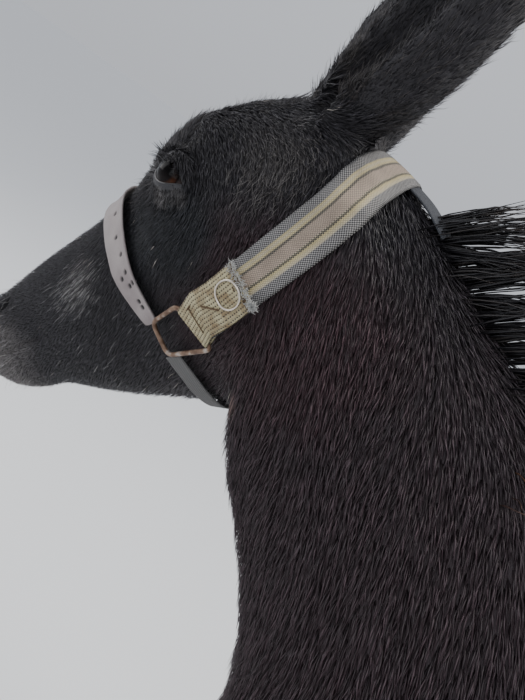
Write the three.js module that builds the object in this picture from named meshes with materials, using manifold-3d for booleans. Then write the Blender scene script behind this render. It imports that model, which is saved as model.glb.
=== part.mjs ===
// A life-size standing donkey with a halter, as a still model. Millimetres, +Z up, the donkey faces -Y
// and its left side is at +X. The flesh is lofted whole, joined, and then parted with thin cuts.

import * as THREE from "three";
import { mergeVertices } from "three/addons/utils/BufferGeometryUtils.js";
import Module from "manifold-3d";

const wasm = await Module();
wasm.setup();

// ---------------------------------------------------------------- driving dimensions

const WITHERS_HEIGHT = 1112;
const POLL = { f: 445, z: 1255 }; // top of the head between the ears; f is forward of the withers
const HEAD_PITCH = THREE.MathUtils.degToRad(51.6); // of the line from poll to nose, below level
const GAP = 0.3; // left between pieces that touch
const BIG = 4000; // side of the boxes that cut

const EYE = { along: 163, below: 26, side: 71, radius: 19.5 };
const LEG_CUT = { fore: 594, hind: 644 }; // heights where the legs leave the trunk
const KNEE_CUT = 334;
const HOCK_CUT = 425;
const CORONET = 50;

// ---------------------------------------------------------------- small tools

const mix = (a, b, t) => a + (b - a) * t;
const bump = (d, reach) => Math.exp(-((d / reach) ** 2));
const signedPower = (v, p) => Math.sign(v) * Math.abs(v) ** p;

/** Catmull-Rom reading of a table of rows at u in 0..1: every column runs smoothly through its rows. */
function readTable(rows, u) {
  const s = u * (rows.length - 1);
  const i = Math.min(Math.floor(s), rows.length - 2);
  const t = s - i;
  const row = (k) => rows[Math.max(0, Math.min(rows.length - 1, k))];
  return rows[0].map((_, c) => {
    const [p0, p1, p2, p3] = [row(i - 1)[c], row(i)[c], row(i + 1)[c], row(i + 2)[c]];
    const curve = (2 * p0 - 5 * p1 + 4 * p2 - p3) * t * t + (3 * p1 - p0 - 3 * p2 + p3) * t * t * t;
    return 0.5 * (2 * p1 + (p2 - p0) * t + curve);
  });
}

/**
 * Closed mesh over rings of points. Fans close the ends, or strips between the two halves of the end rings,
 * or the last ring joins the first one.
 */
function skinRings(rings, { joined = false, strips = false } = {}) {
  const n = rings[0].length;
  const points = rings.flat();
  const faces = [];
  const quads = joined ? rings.length : rings.length - 1;
  for (let i = 0; i < quads; i += 1) {
    const next = (i + 1) % rings.length;
    for (let j = 0; j < n; j += 1) {
      const k = (j + 1) % n;
      const [a, b, c, d] = [i * n + j, i * n + k, next * n + k, next * n + j];
      faces.push(a, b, c, a, c, d);
    }
  }
  const ends = joined ? [] : [[rings[0], 0, false], [rings.at(-1), points.length - n, true]];
  for (const [ring, base, turned] of ends) {
    const add = (a, b, c) => faces.push(...(turned ? [a, b, c] : [a, c, b]));
    if (strips) {
      for (let j = 0; j < n / 2 - 1; j += 1) {
        const [low, high] = [base + j, base + n - 1 - j];
        add(low, low + 1, high - 1);
        add(low, high - 1, high);
      }
    } else {
      const centre = ring.reduce((sum, p) => sum.add(p), new THREE.Vector3()).divideScalar(n);
      const hub = points.push(centre) - 1;
      for (let j = 0; j < n; j += 1) {
        add(hub, base + j, base + ((j + 1) % n));
      }
    }
  }
  const geometry = new THREE.BufferGeometry().setFromPoints(points);
  geometry.setIndex(faces);
  return geometry;
}

/** A closed geometry as a solid, turned inside out if its faces look inward. */
function solid(geometry) {
  const bare = geometry.clone();
  bare.deleteAttribute("normal");
  bare.deleteAttribute("uv");
  const merged = mergeVertices(bare, 1e-4);
  const index = Uint32Array.from(merged.index.array);
  const p = merged.attributes.position;
  const corner = (i) => new THREE.Vector3().fromBufferAttribute(p, index[i]);
  let volume = 0;
  for (let i = 0; i < index.length; i += 3) {
    volume += corner(i).dot(corner(i + 1).cross(corner(i + 2)));
  }
  if (volume < 0) {
    for (let i = 0; i < index.length; i += 3) {
      [index[i], index[i + 1]] = [index[i + 1], index[i]];
    }
  }
  const mesh = new wasm.Mesh({ numProp: 3, vertProperties: Float32Array.from(p.array), triVerts: index });
  return new wasm.Manifold(mesh);
}

/** The geometry of a solid. */
function toGeometry(body) {
  const mesh = body.getMesh();
  const geometry = new THREE.BufferGeometry();
  geometry.setAttribute("position", new THREE.BufferAttribute(Float32Array.from(mesh.vertProperties), 3));
  geometry.setIndex(new THREE.BufferAttribute(Uint32Array.from(mesh.triVerts), 1));
  return geometry;
}

/** The same solid with every corner moved out along its normal, to cut a neighbour with a gap. */
function swell(body, gap = GAP) {
  const geometry = toGeometry(body);
  geometry.computeVertexNormals();
  const { position, normal } = geometry.attributes;
  for (let i = 0; i < position.count; i += 1) {
    const p = new THREE.Vector3().fromBufferAttribute(position, i);
    p.addScaledVector(new THREE.Vector3().fromBufferAttribute(normal, i), gap);
    position.setXYZ(i, p.x, p.y, p.z);
  }
  return solid(geometry);
}

/** A box as a solid: centre, half sides, and a turn about X. */
function block(centre, half, turn = 0) {
  const geometry = new THREE.BoxGeometry(2 * half[0], 2 * half[1], 2 * half[2]);
  geometry.rotateX(turn);
  geometry.translate(...centre);
  return solid(geometry);
}

/** The part of a solid on one side of a plane that holds the X direction: through (f, z), facing (nf, nz). */
function keepSide(body, [f, z], [nf, nz], gap = GAP / 2) {
  const length = Math.hypot(nf, nz);
  const [df, dz] = [nf / length, nz / length];
  const turn = Math.atan2(dz, -df); // turns +Y onto the facing direction
  const centre = [0, -(f + df * (BIG / 2 + gap)), z + dz * (BIG / 2 + gap)];
  return body.intersect(block(centre, [BIG / 2, BIG / 2, BIG / 2], turn));
}

const keepBelow = (body, z) => keepSide(body, [0, z], [0, -1]);
const keepAbove = (body, z) => keepSide(body, [0, z], [0, 1]);

/** One side of the animal: +1 is its left. */
const keepHalf = (body, side) => body.intersect(block([side * BIG / 2, 0, 0], [BIG / 2, BIG, BIG]));

// ---------------------------------------------------------------- lofts of the body

/**
 * A ring of the body between a top point and a bottom point of the middle plane. Each half is a
 * superellipse: full = 1 is a lens, 2 an ellipse, more is boxy. lift moves the widest level up.
 */
function bodyRing({ top, bottom, half, lift = 0, fullTop = 2, fullBottom = 2, shift = 0 }, sides) {
  const ring = [];
  for (let j = 0; j < sides; j += 1) {
    const t = (2 * Math.PI * (j + 0.5)) / sides;
    const full = Math.sin(t) > 0 ? fullTop : fullBottom;
    const across = signedPower(Math.cos(t), 2 / full);
    const s = signedPower(Math.sin(t), 2 / full);
    const level = 0.5 + 0.5 * (s + lift * (1 - s * s));
    const f = mix(bottom[0], top[0], level);
    const z = mix(bottom[1], top[1], level);
    ring.push(new THREE.Vector3(shift + half * across, -f, z));
  }
  return ring;
}

/** A loft of the body: top f and z, bottom f and z, half width, lift, fullTop and fullBottom in each row. */
function bodyLoft(table, rings, sides) {
  const list = [];
  for (let i = 0; i < rings; i += 1) {
    const [tf, tz, bf, bz, half, lift, fullTop, fullBottom] = readTable(table, i / (rings - 1));
    list.push(bodyRing({ top: [tf, tz], bottom: [bf, bz], half, lift, fullTop, fullBottom }, sides));
  }
  return skinRings(list);
}

// Back and belly of the trunk, from the breast to the buttocks.
const TRUNK = [
  [212, 850, 222, 760, 58, 0, 2, 2],
  [205, 950, 226, 700, 118, 0, 2, 2.1],
  [120, 1055, 160, 645, 146, -0.1, 1.7, 2.1],
  [0, WITHERS_HEIGHT, 20, 622, 166, -0.18, 1.55, 2],
  [-130, 1090, -110, 604, 190, -0.12, 1.8, 2],
  [-290, 1068, -285, 600, 208, -0.06, 2, 2.05],
  [-450, 1074, -455, 622, 208, 0, 2.1, 2],
  [-600, 1094, -590, 664, 196, 0.05, 2.1, 2],
  [-720, 1088, -705, 704, 180, 0.1, 2, 2],
  [-815, 1046, -800, 742, 150, 0.08, 2, 2],
  [-872, 975, -866, 815, 92, 0, 2, 2],
];

// Crest and throat line of the neck, from inside the head to inside the trunk.
const NECK = [
  [POLL.f + 6, POLL.z - 40, POLL.f + 20, POLL.z - 200, 48, 0, 2, 2],
  [POLL.f - 32, POLL.z - 38, POLL.f - 46, POLL.z - 276, 64, 0, 1.9, 2],
  [POLL.f - 72, POLL.z - 47, POLL.f - 74, POLL.z - 322, 70, 0, 1.8, 2],
  [POLL.f - 130, POLL.z - 71, POLL.f - 120, POLL.z - 358, 74, -0.05, 1.75, 2],
  [POLL.f - 212, POLL.z - 107, POLL.f - 171, POLL.z - 408, 80, -0.1, 1.7, 2],
  [POLL.f - 310, POLL.z - 134, POLL.f - 205, POLL.z - 480, 92, -0.12, 1.6, 2],
  [POLL.f - 410, POLL.z - 143, POLL.f - 216, POLL.z - 560, 112, -0.15, 1.55, 2],
  [POLL.f - 520, POLL.z - 170, POLL.f - 290, POLL.z - 600, 104, -0.15, 1.6, 2],
];

// ---------------------------------------------------------------- head

/** A point of the head frame (along the face, below its front line, to the left) in the world. */
function headPoint(along, below, side) {
  const [c, s] = [Math.cos(HEAD_PITCH), Math.sin(HEAD_PITCH)];
  const f = POLL.f + along * c - below * s;
  return new THREE.Vector3(side, -f, POLL.z - along * s - below * c);
}

// Face line, jaw line and half width of the head, from the poll to the lips.
const HEAD = [
  // along, face, jaw, half width, lift, fullTop, fullBottom
  [16, 34, 150, 42, 0, 2, 2],
  [24, 1, 200, 66, 0.1, 2.2, 2],
  [50, -19, 226, 80, 0.12, 2.3, 1.9],
  [100, -35, 240, 87, 0.18, 2.4, 1.8],
  [150, -33, 231, 88, 0.3, 2.5, 1.7],
  [200, -24, 210, 77, 0.28, 2.4, 1.75],
  [250, -15, 195, 63, 0.18, 2.3, 1.8],
  [300, -9, 183, 53, 0.1, 2.2, 1.9],
  [350, -3, 168, 47, 0.05, 2.2, 2],
  [400, 5, 151, 45, 0, 2.2, 2.1],
  [440, 18, 148, 47, 0, 2.3, 2.2],
  [472, 30, 140, 46, 0, 2.3, 2.2],
  [492, 44, 126, 38, 0, 2.2, 2.1],
  [503, 64, 104, 22, 0, 2, 2],
];

// Local forms of each side of the head: where, how far they reach, and how far they push out.
const HEAD_FORMS = [
  { at: [156, -13], reach: [34, 20], out: 13 }, // brow
  { at: [104, -4], reach: [34, 26], out: 6 }, // temple
  { at: [169, 27], reach: [24, 19], out: -7 }, // eye socket
  { at: [234, 24], reach: [34, 28], out: -6 }, // hollow before the eye
  { at: [212, 76], reach: [52, 13], out: 7 }, // crest of the cheekbone
  { at: [128, 150], reach: [56, 52], out: 9 }, // cheek muscle
  { at: [262, 128], reach: [52, 34], out: -5 }, // flat of the jaw before the cheek
  { at: [452, 52], reach: [20, 17], out: 6 }, // nostril wing
  { at: [448, 54], reach: [9, 9], out: -9 }, // nostril
  { at: [476, 76], reach: [26, 20], out: 5 }, // upper lip
  { at: [440, 101], reach: [44, 7], out: -6 }, // mouth line
  { at: [440, 128], reach: [24, 14], out: 3 }, // chin
];

/** The local forms, added to a point of the head frame. */
function shapeHead([along, below, side], half) {
  const share = Math.min(1, Math.abs(side) / (0.6 * half));
  let push = 0;
  for (const form of HEAD_FORMS) {
    push += form.out * bump(along - form.at[0], form.reach[0]) * bump(below - form.at[1], form.reach[1]);
  }
  return [along, below, side + Math.sign(side) * push * share];
}

/** The head as a loft along the face, with its forms. */
function makeHead(rings, sides) {
  const list = [];
  for (let i = 0; i < rings; i += 1) {
    const [along, face, jaw, half, lift, fullTop, fullBottom] = readTable(HEAD, i / (rings - 1));
    const flat = bodyRing({ top: [0, -face], bottom: [0, -jaw], half, lift, fullTop, fullBottom }, sides);
    list.push(flat.map((p) => headPoint(...shapeHead([along, -p.z, p.x], half))));
  }
  return skinRings(list);
}

// ---------------------------------------------------------------- legs

// Rows of a left leg: height, front f, back f, half width, middle x, from the body down to the coronet.
const FORE_LEG = [
  [985, 110, 20, 26, 60],
  [900, 165, -10, 50, 84],
  [800, 208, -30, 62, 98],
  [700, 200, -36, 60, 106],
  [620, 160, -22, 54, 108],
  [520, 136, 12, 43, 106],
  [430, 122, 32, 36, 103],
  [365, 119, 41, 35, 102],
  [325, 126, 42, 38, 102],
  [285, 113, 44, 32, 101],
  [215, 106, 46, 27, 100],
  [155, 107, 42, 28, 99],
  [118, 121, 34, 33, 99],
  [84, 134, 52, 29, 99],
  [CORONET - 2, 156, 62, 35, 99],
];
const HIND_LEG = [
  [1010, -640, -790, 40, 70],
  [920, -596, -872, 68, 92],
  [830, -572, -902, 84, 104],
  [740, -572, -896, 80, 110],
  [655, -592, -872, 64, 114],
  [580, -640, -858, 49, 111],
  [505, -702, -862, 39, 107],
  [455, -750, -892, 34, 104],
  [405, -782, -894, 35, 103],
  [350, -800, -878, 31, 102],
  [270, -799, -866, 28, 101],
  [160, -790, -862, 29, 100],
  [120, -774, -868, 34, 100],
  [84, -756, -836, 30, 100],
  [CORONET - 2, -732, -828, 35, 100],
];

/** One leg as a loft downward; the left one has side 1. */
function makeLeg(table, side, rings, sides) {
  const list = [];
  for (let i = 0; i < rings; i += 1) {
    const [z, front, back, half, x] = readTable(table, i / (rings - 1));
    const ring = [];
    for (let j = 0; j < sides; j += 1) {
      const t = (2 * Math.PI * (j + 0.5)) / sides;
      const across = x + half * signedPower(Math.cos(t), 0.9);
      const f = mix(back, front, 0.5 + 0.5 * signedPower(Math.sin(t), 0.9));
      ring.push(new THREE.Vector3(side * across, -f, z));
    }
    list.push(ring);
  }
  return skinRings(list);
}

// A hoof flares from the coronet to a flat sole: rows of height, toe growth, heel growth, width growth.
const HOOF_ROWS = [
  [CORONET - GAP, 0, 0, 0],
  [CORONET - 6, 3, 1, 2],
  [25, 14, 4, 5],
  [6, 25, 6, 7],
  [0, 25, 5, 6],
];

/** A hoof under a leg whose coronet runs from heel to toe. */
function makeHoof({ toe, heel, half, x }, side) {
  const sides = 12;
  const list = HOOF_ROWS.map(([z, forward, backward, wider]) => {
    const ring = [];
    for (let j = 0; j < sides; j += 1) {
      const t = (2 * Math.PI * (j + 0.5)) / sides;
      const across = x + (half + wider) * signedPower(Math.cos(t), 0.85);
      const f = mix(heel - backward, toe + forward, 0.5 + 0.5 * signedPower(Math.sin(t), 0.8));
      ring.push(new THREE.Vector3(side * across, -f, z));
    }
    return ring;
  });
  return skinRings(list);
}

// ---------------------------------------------------------------- ears, tail, mane

const EAR = { length: 265, wall: 5, bow: 6, clear: 2 }; // clear: from the crown strap

// Each ear stands its own way: lean backward and outward as slopes, opening turned from forward to the side.
const EAR_TURNS = {
  left: { root: [31, 23, 50], back: 0.25, outward: 0.32, facing: THREE.MathUtils.degToRad(48) },
  right: { root: [82, 4, 37], back: -0.03, outward: 0.1, facing: THREE.MathUtils.degToRad(22) },
};

// Rows up the ear: share of length, radius of the cup, half opening angle of the wall in degrees.
const EAR_ROWS = [
  [-0.07, 24, 150],
  [0.04, 33, 138],
  [0.16, 45, 114],
  [0.32, 50, 102],
  [0.5, 50, 92],
  [0.68, 43, 84],
  [0.84, 30, 76],
  [0.95, 16, 66],
  [1, 6, 50],
];

/** An ear: a cup whose wall is an arc round the ear's own axis, open toward `facing`. */
function makeEar(side, { root, back, outward, facing }) {
  const rings = 13;
  const steps = 5;
  const up = new THREE.Vector3(outward, back, 1).normalize();
  const open = new THREE.Vector3(Math.sin(facing), -Math.cos(facing), 0);
  open.addScaledVector(up, -open.dot(up)).normalize();
  const across = new THREE.Vector3().crossVectors(up, open);
  const list = [];
  for (let i = 0; i < rings; i += 1) {
    const [share, radius, angle] = readTable(EAR_ROWS, i / (rings - 1));
    const wall = Math.min(EAR.wall, 0.45 * radius);
    const axis = headPoint(...root).addScaledVector(up, share * EAR.length);
    axis.addScaledVector(open, -EAR.bow * Math.sin(Math.PI * Math.max(0, share)));
    const arc = (r) => {
      const points = [];
      for (let j = 0; j <= steps; j += 1) {
        const t = THREE.MathUtils.degToRad(angle) * ((2 * j) / steps - 1);
        const p = axis.clone().addScaledVector(open, -r * Math.cos(t));
        points.push(p.addScaledVector(across, r * Math.sin(t)));
      }
      return points;
    };
    list.push([...arc(radius), ...arc(radius - wall).reverse()]);
  }
  for (const ring of list) {
    for (const p of ring) {
      p.x *= side;
    }
  }
  return skinRings(list);
}

// Rows down the tail: f, height, half thickness front to back, half width.
const TAIL = [
  [-835, 1032, 20, 24],
  [-880, 1012, 22, 26],
  [-915, 955, 21, 25],
  [-934, 880, 19, 23],
  [-944, 790, 19, 22],
  [-950, 710, 24, 28],
  [-954, 620, 30, 36],
  [-955, 530, 29, 35],
  [-954, 450, 20, 24],
  [-952, 400, 6, 8],
];

/** The tail, hanging behind the thighs, with the tuft at its end. */
function makeTail() {
  const [rings, sides] = [12, 8];
  const centres = [];
  for (let i = 0; i < rings; i += 1) {
    centres.push(readTable(TAIL, i / (rings - 1)));
  }
  const list = centres.map(([f, z, thick, half], i) => {
    const [before, after] = [centres[Math.max(0, i - 1)], centres[Math.min(rings - 1, i + 1)]];
    const along = new THREE.Vector2(after[0] - before[0], after[1] - before[1]).normalize();
    const ring = [];
    for (let j = 0; j < sides; j += 1) {
      const t = (2 * Math.PI * (j + 0.5)) / sides;
      const out = thick * Math.sin(t);
      ring.push(new THREE.Vector3(half * Math.cos(t), -(f - along.y * out), z + along.x * out));
    }
    return ring;
  });
  return skinRings(list);
}

const MANE_FOOT = 18; // depth of the mane's foot in the neck

// Rows along the crest: f, height, half width of the foot of the mane, height of the hair.
const MANE = [
  [326, 1183, 5, 6],
  [304, 1174, 9, 20],
  [260, 1158, 11, 30],
  [180, 1136, 12, 33],
  [100, 1121, 12, 30],
  [30, 1113, 10, 22],
  [-30, 1108, 6, 8],
];

/** The mane: a thin upright ridge on the crest, its foot sunk in the neck. */
function makeMane() {
  const rings = 10;
  const list = [];
  for (let i = 0; i < rings; i += 1) {
    const [f, z, half, high] = readTable(MANE, i / (rings - 1));
    const rising = [[1, -MANE_FOOT], [1, 0], [0.8, 0.5 * high]];
    const falling = rising.map(([across, up]) => [-across, up]).reverse();
    const outline = [...rising, [0, high], ...falling];
    list.push(outline.map(([across, up]) => new THREE.Vector3(across * half, -f, z + up)));
  }
  return skinRings(list);
}

// ---------------------------------------------------------------- halter

// Straps: width, and how low and high over the coat's outline they lie.
const WEBBING = { width: 38, low: 1.6, high: 3.6, lines: 5 };
const STRAP_END = { low: WEBBING.high + 1, high: 6.4, stops: 3 };
const NOSEBAND = { width: 31, endWidth: 18, low: 1.8, high: 4.2, lines: 4 };
const CHIN_STRAP = { width: 20, low: 1, high: 3, lines: 3, from: 118 };
const CROWN_TAIL = { width: 16, low: 1, high: 3, lines: 3 };
const WIRE = 2.1; // radius of the side rings' wire
const CIRCLE_CLEAR = 2.4; // under the circle, so that it clears the strap's bend
const CIRCLE = { along: 124, below: 134, radius: 11.5, wire: 1.1 };

// Corners of the left side ring in the head frame (along, below), the webbing's side first.
const RING_CORNERS = [[182, 127], [221, 130], [218, 159], [163, 167]];

/** How far out from `inner` the mesh reaches along `out`, looking in from `from` away. */
function reach(mesh, inner, out, from = 400) {
  const caster = new THREE.Raycaster(inner.clone().addScaledVector(out, from), out.clone().negate());
  const hits = caster.intersectObject(mesh);
  return hits.length ? from - hits[0].distance : 0;
}

/** A row of heights as a taut strap takes them: lifted to its neighbours' middle where it would sag. */
function taut(row) {
  const lifted = row.map((v, i) => Math.max(v, ((row[i - 1] ?? v) + (row[i + 1] ?? v)) / 2));
  return lifted.map((v, i) => Math.max(v, ((lifted[i - 1] ?? v) + (lifted[i + 1] ?? v)) / 2));
}

const TAPER_STOPS = 3; // stops over which a strap's end narrows

const SHARES = [0, 0.25, 0.5, 0.75, 1];

/**
 * The ground of a strap laid on the body: for each line along it, a row of inner points and how far out the
 * body reaches from them. Each stop has a point inside the body and a direction out. A last look between
 * the stops and lines lifts the corners of every cell that the body would poke through.
 */
function layBand(mesh, stops, { width, lines, from = 400, endWidth = width }) {
  const last = stops.length - 1;
  const outs = stops.map(({ out }) => out);
  const middle = stops.map(({ inner, out }) => {
    return inner.clone().addScaledVector(out, reach(mesh, inner, out, from));
  });
  const edges = Array.from({ length: lines }, (_, k) => (2 * k) / (lines - 1) - 1);
  const inners = edges.map((edge) => {
    return stops.map(({ inner, out }, i) => {
      const along = middle[Math.min(i + 1, last)].clone().sub(middle[Math.max(i - 1, 0)]);
      const across = new THREE.Vector3().crossVectors(out, along).normalize();
      const wide = mix(endWidth, width, Math.min(1, Math.min(i, last - i) / TAPER_STOPS));
      return inner.clone().addScaledVector(across, (edge * wide) / 2);
    });
  });
  const depths = inners.map((row) => taut(row.map((p, i) => reach(mesh, p, outs[i], from))));
  const lifts = depths.map((row) => row.map(() => 0));
  for (let k = 0; k < lines - 1; k += 1) {
    for (let i = 0; i < last; i += 1) {
      const corners = [[k, i], [k + 1, i], [k, i + 1], [k + 1, i + 1]];
      let short = 0;
      for (const u of SHARES) {
        for (const v of SHARES) {
          const shares = [(1 - u) * (1 - v), u * (1 - v), (1 - u) * v, u * v];
          const p = new THREE.Vector3();
          let depth = 0;
          corners.forEach(([line, stop], c) => {
            p.addScaledVector(inners[line][stop], shares[c]);
            depth += depths[line][stop] * shares[c];
          });
          const out = outs[i].clone().lerp(outs[i + 1], v).normalize();
          short = Math.max(short, reach(mesh, p, out, from) - depth);
        }
      }
      for (const [line, stop] of corners) {
        lifts[line][stop] = Math.max(lifts[line][stop], short);
      }
    }
  }
  return { inners, outs, depths: depths.map((row, k) => row.map((depth, i) => depth + lifts[k][i])) };
}

/** The part of a strap between two of its stops, from `low` to `high` over its ground. */
function makeBand({ inners, outs, depths }, { low, high }, first = 0, end = outs.length) {
  const rings = [];
  for (let i = first; i < end; i += 1) {
    const row = (height) => inners.map((line, k) => line[i].clone().addScaledVector(outs[i], depths[k][i] + height));
    rings.push([...row(low), ...row(high).reverse()]);
  }
  return skinRings(rings, { strips: true });
}

/** Stops of the crown strap from the left ring over the crest to the right ring. */
function crownStops() {
  const side = [[435, 1037], [422, 1060], [411, 1085], [401, 1115], [393, 1144]];
  const lateral = (hand) => {
    return side.map(([f, z]) => ({ inner: new THREE.Vector3(0, -f, z), out: new THREE.Vector3(hand, 0, 0) }));
  };
  const over = [];
  for (let angle = 6; angle <= 174; angle += 12) {
    const t = THREE.MathUtils.degToRad(angle);
    const out = new THREE.Vector3(Math.cos(t), 0, Math.sin(t));
    over.push({ inner: new THREE.Vector3(0, -388 - 13 * Math.sin(t) ** 2, 1150), out });
  }
  return [...lateral(1), ...over, ...lateral(-1).reverse()];
}

/** Stops in a tilted section of the head, turned from `from` to `to` degrees above the left. */
function sectionStops(from, to, step, { along, below, tilt }) {
  const stops = [];
  for (let angle = from; angle <= to; angle += step) {
    const t = THREE.MathUtils.degToRad(angle);
    const inner = headPoint(along, below, 0);
    const outer = headPoint(along + tilt * Math.sin(t), below - Math.sin(t), Math.cos(t));
    stops.push({ inner, out: outer.sub(inner).normalize() });
  }
  return stops;
}

const noseStops = () => sectionStops(-50, 230, 12.72, { along: 242, below: 62, tilt: 0.23 });
const chinStops = () => sectionStops(-130, -50, 8, { along: 221, below: 100, tilt: 0.12 });

/** A closed wire through points, a ring of `sides` corners at each. */
function makeWire(points, radius, sides, facing) {
  const n = points.length;
  const list = points.map((p, i) => {
    const along = points[(i + 1) % n].clone().sub(points[(i + n - 1) % n]).normalize();
    const across = new THREE.Vector3().crossVectors(along, facing).normalize();
    const up = new THREE.Vector3().crossVectors(across, along);
    const ring = [];
    for (let j = 0; j < sides; j += 1) {
      const t = (2 * Math.PI * j) / sides;
      const out = p.clone().addScaledVector(across, radius * Math.cos(t));
      ring.push(out.addScaledVector(up, radius * Math.sin(t)));
    }
    return ring;
  });
  return skinRings(list, { joined: true });
}

const RING_BEND = 8; // length of a rounded corner of the ring
const RING_CLEAR = 5.2; // between the ring's wire and the cheek

/** The middle line of a side ring: its corners laid on the cheek and rounded. */
function ringLine(mesh, side) {
  const lift = WIRE + RING_CLEAR;
  const corners = RING_CORNERS.map(([along, below]) => {
    const inner = headPoint(along, below, 0);
    inner.x = side * (reach(mesh, inner, new THREE.Vector3(side, 0, 0)) + lift);
    return inner;
  });
  const points = [];
  for (let i = 0; i < 4; i += 1) {
    const [a, b, c] = [corners[(i + 3) % 4], corners[i], corners[(i + 1) % 4]];
    const start = b.clone().lerp(a, RING_BEND / a.distanceTo(b));
    const end = b.clone().lerp(c, RING_BEND / c.distanceTo(b));
    points.push(...new THREE.QuadraticBezierCurve3(start, b, end).getPoints(3));
  }
  return points;
}

/** The wire circle sewn flat on the left strap's end: a torus facing the way the strap lies. */
function makeCircle(mesh) {
  const left = new THREE.Vector3(1, 0, 0);
  const [centre, ahead, under] = [[0, 0], [CIRCLE.radius, 0], [0, CIRCLE.radius]].map(([along, below]) => {
    const p = headPoint(CIRCLE.along + along, CIRCLE.below + below, 0);
    p.x = reach(mesh, p, left);
    return p;
  });
  const facing = new THREE.Vector3().crossVectors(ahead.sub(centre), under.sub(centre)).normalize();
  facing.multiplyScalar(Math.sign(facing.x));
  const torus = new THREE.TorusGeometry(CIRCLE.radius, CIRCLE.wire, 5, 16);
  torus.applyQuaternion(new THREE.Quaternion().setFromUnitVectors(new THREE.Vector3(0, 0, 1), facing));
  const lift = STRAP_END.high + CIRCLE.wire + CIRCLE_CLEAR;
  return torus.translate(...centre.addScaledVector(facing, lift));
}

// ---------------------------------------------------------------- assembly

const donkey = new THREE.Group();
const SIDES = [["left", 1], ["right", -1]];

const COLOURS = {
  coat: 0x2a211f,
  mane: 0x151112,
  hoof: 0x2c2824,
  eye: 0x1b100a,
  webbing: 0x9d9279,
  noseband: 0x8d807a,
  crown: 0x35383d,
  wire: 0x7a6142,
};

/** Adds one solid to the donkey as a named mesh. */
function add(name, body, color, roughness, metalness = 0) {
  const faceted = toGeometry(body).toNonIndexed();
  faceted.computeVertexNormals();
  const mesh = new THREE.Mesh(faceted, new THREE.MeshStandardMaterial({ color, roughness, metalness }));
  mesh.name = name;
  donkey.add(mesh);
}

const LEGS = [
  { name: "front", table: FORE_LEG, upper: "forearm", top: LEG_CUT.fore, joint: KNEE_CUT, f: [-300, 400] },
  { name: "hind", table: HIND_LEG, upper: "gaskin", top: LEG_CUT.hind, joint: HOCK_CUT, f: [-1200, -566] },
];

let flesh = solid(bodyLoft(TRUNK, 16, 16)).add(solid(bodyLoft(NECK, 13, 18))).add(solid(makeHead(28, 18)));
for (const { table } of LEGS) {
  for (const [, side] of SIDES) {
    flesh = flesh.add(solid(makeLeg(table, side, 21, 8)));
  }
}

// Head, neck and trunk.
const HEAD_CUT = [[POLL.f - 46, POLL.z - 20], [1, -0.06]];
const NECK_CUT = [[62, 1120], [0.884, 0.468]];
const away = ([f, z]) => [-f, -z];
const headBody = keepSide(flesh, ...HEAD_CUT);
const behindHead = keepSide(flesh, HEAD_CUT[0], away(HEAD_CUT[1]));
const neckBody = keepSide(behindHead, ...NECK_CUT);
const behindNeck = keepSide(behindHead, NECK_CUT[0], away(NECK_CUT[1]));

// Legs: below their cut heights and inside their own stretch of the body.
let trunkBody = behindNeck;
for (const leg of LEGS) {
  const [from, to] = leg.f;
  const top = leg.top + GAP / 2;
  const half = [BIG / 2, (to - from) / 2, BIG / 2];
  trunkBody = trunkBody.subtract(block([0, -(from + to) / 2, top - BIG / 2], half));
  leg.flesh = keepSide(keepSide(behindNeck, [from + GAP, 0], [1, 0]), [to, 0], [-1, 0]);
}

// Ears, mane and tail are trimmed by the flesh; the halter is laid over it.
const fleshWithGap = swell(flesh, 2 * GAP);
const bothSides = new THREE.MeshStandardMaterial({ side: THREE.DoubleSide });
const skinMesh = new THREE.Mesh(toGeometry(flesh), bothSides);
skinMesh.updateMatrixWorld(true);
const tailStops = [371, 362, 353, 344, 335].map((f, i) => {
  const lean = THREE.MathUtils.degToRad(85);
  const out = new THREE.Vector3(Math.cos(lean), 0, Math.sin(lean));
  return { inner: new THREE.Vector3(0, -f, 1100 - 3 * i), out };
});
const crown = layBand(skinMesh, crownStops(), WEBBING);
const crownEnd = crown.outs.length;
const wider = layBand(skinMesh, crownStops(), { ...WEBBING, width: WEBBING.width + 2 * EAR.clear });
const crownRoom = solid(makeBand(wider, { low: -EAR.clear, high: WEBBING.high + EAR.clear }));
const STRAPS = [
  ["halter_crown_strap", makeBand(crown, WEBBING), COLOURS.webbing],
  ["halter_strap_end_left", makeBand(crown, STRAP_END, 0, STRAP_END.stops), COLOURS.webbing],
  ["halter_strap_end_right", makeBand(crown, STRAP_END, crownEnd - STRAP_END.stops), COLOURS.webbing],
  ["halter_noseband", makeBand(layBand(skinMesh, noseStops(), NOSEBAND), NOSEBAND), COLOURS.noseband],
  ["halter_chin_strap", makeBand(layBand(skinMesh, chinStops(), CHIN_STRAP), CHIN_STRAP), COLOURS.webbing],
  ["halter_crown_tail", makeBand(layBand(skinMesh, tailStops, CROWN_TAIL), CROWN_TAIL), COLOURS.crown],
];
let head = headBody;
for (const [word, side] of SIDES) {
  const centre = headPoint(EYE.along, EYE.below, side * EYE.side);
  const turn = (-side * Math.PI) / 2;
  const ball = (radius) => new THREE.SphereGeometry(radius, 12, 8).rotateZ(turn).translate(...centre);
  head = head.subtract(solid(ball(EYE.radius + GAP)));
  add(`eye_${word}`, solid(ball(EYE.radius)), COLOURS.eye, 0.15);
}
for (const [word, side] of SIDES) {
  const ear = solid(makeEar(side, EAR_TURNS[word])).subtract(fleshWithGap).subtract(crownRoom);
  add(`ear_${word}`, ear, COLOURS.coat, 0.9);
}
add("head", head, COLOURS.coat, 0.9);
add("neck", neckBody, COLOURS.coat, 0.9);
add("trunk", trunkBody, COLOURS.coat, 0.9);
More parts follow.
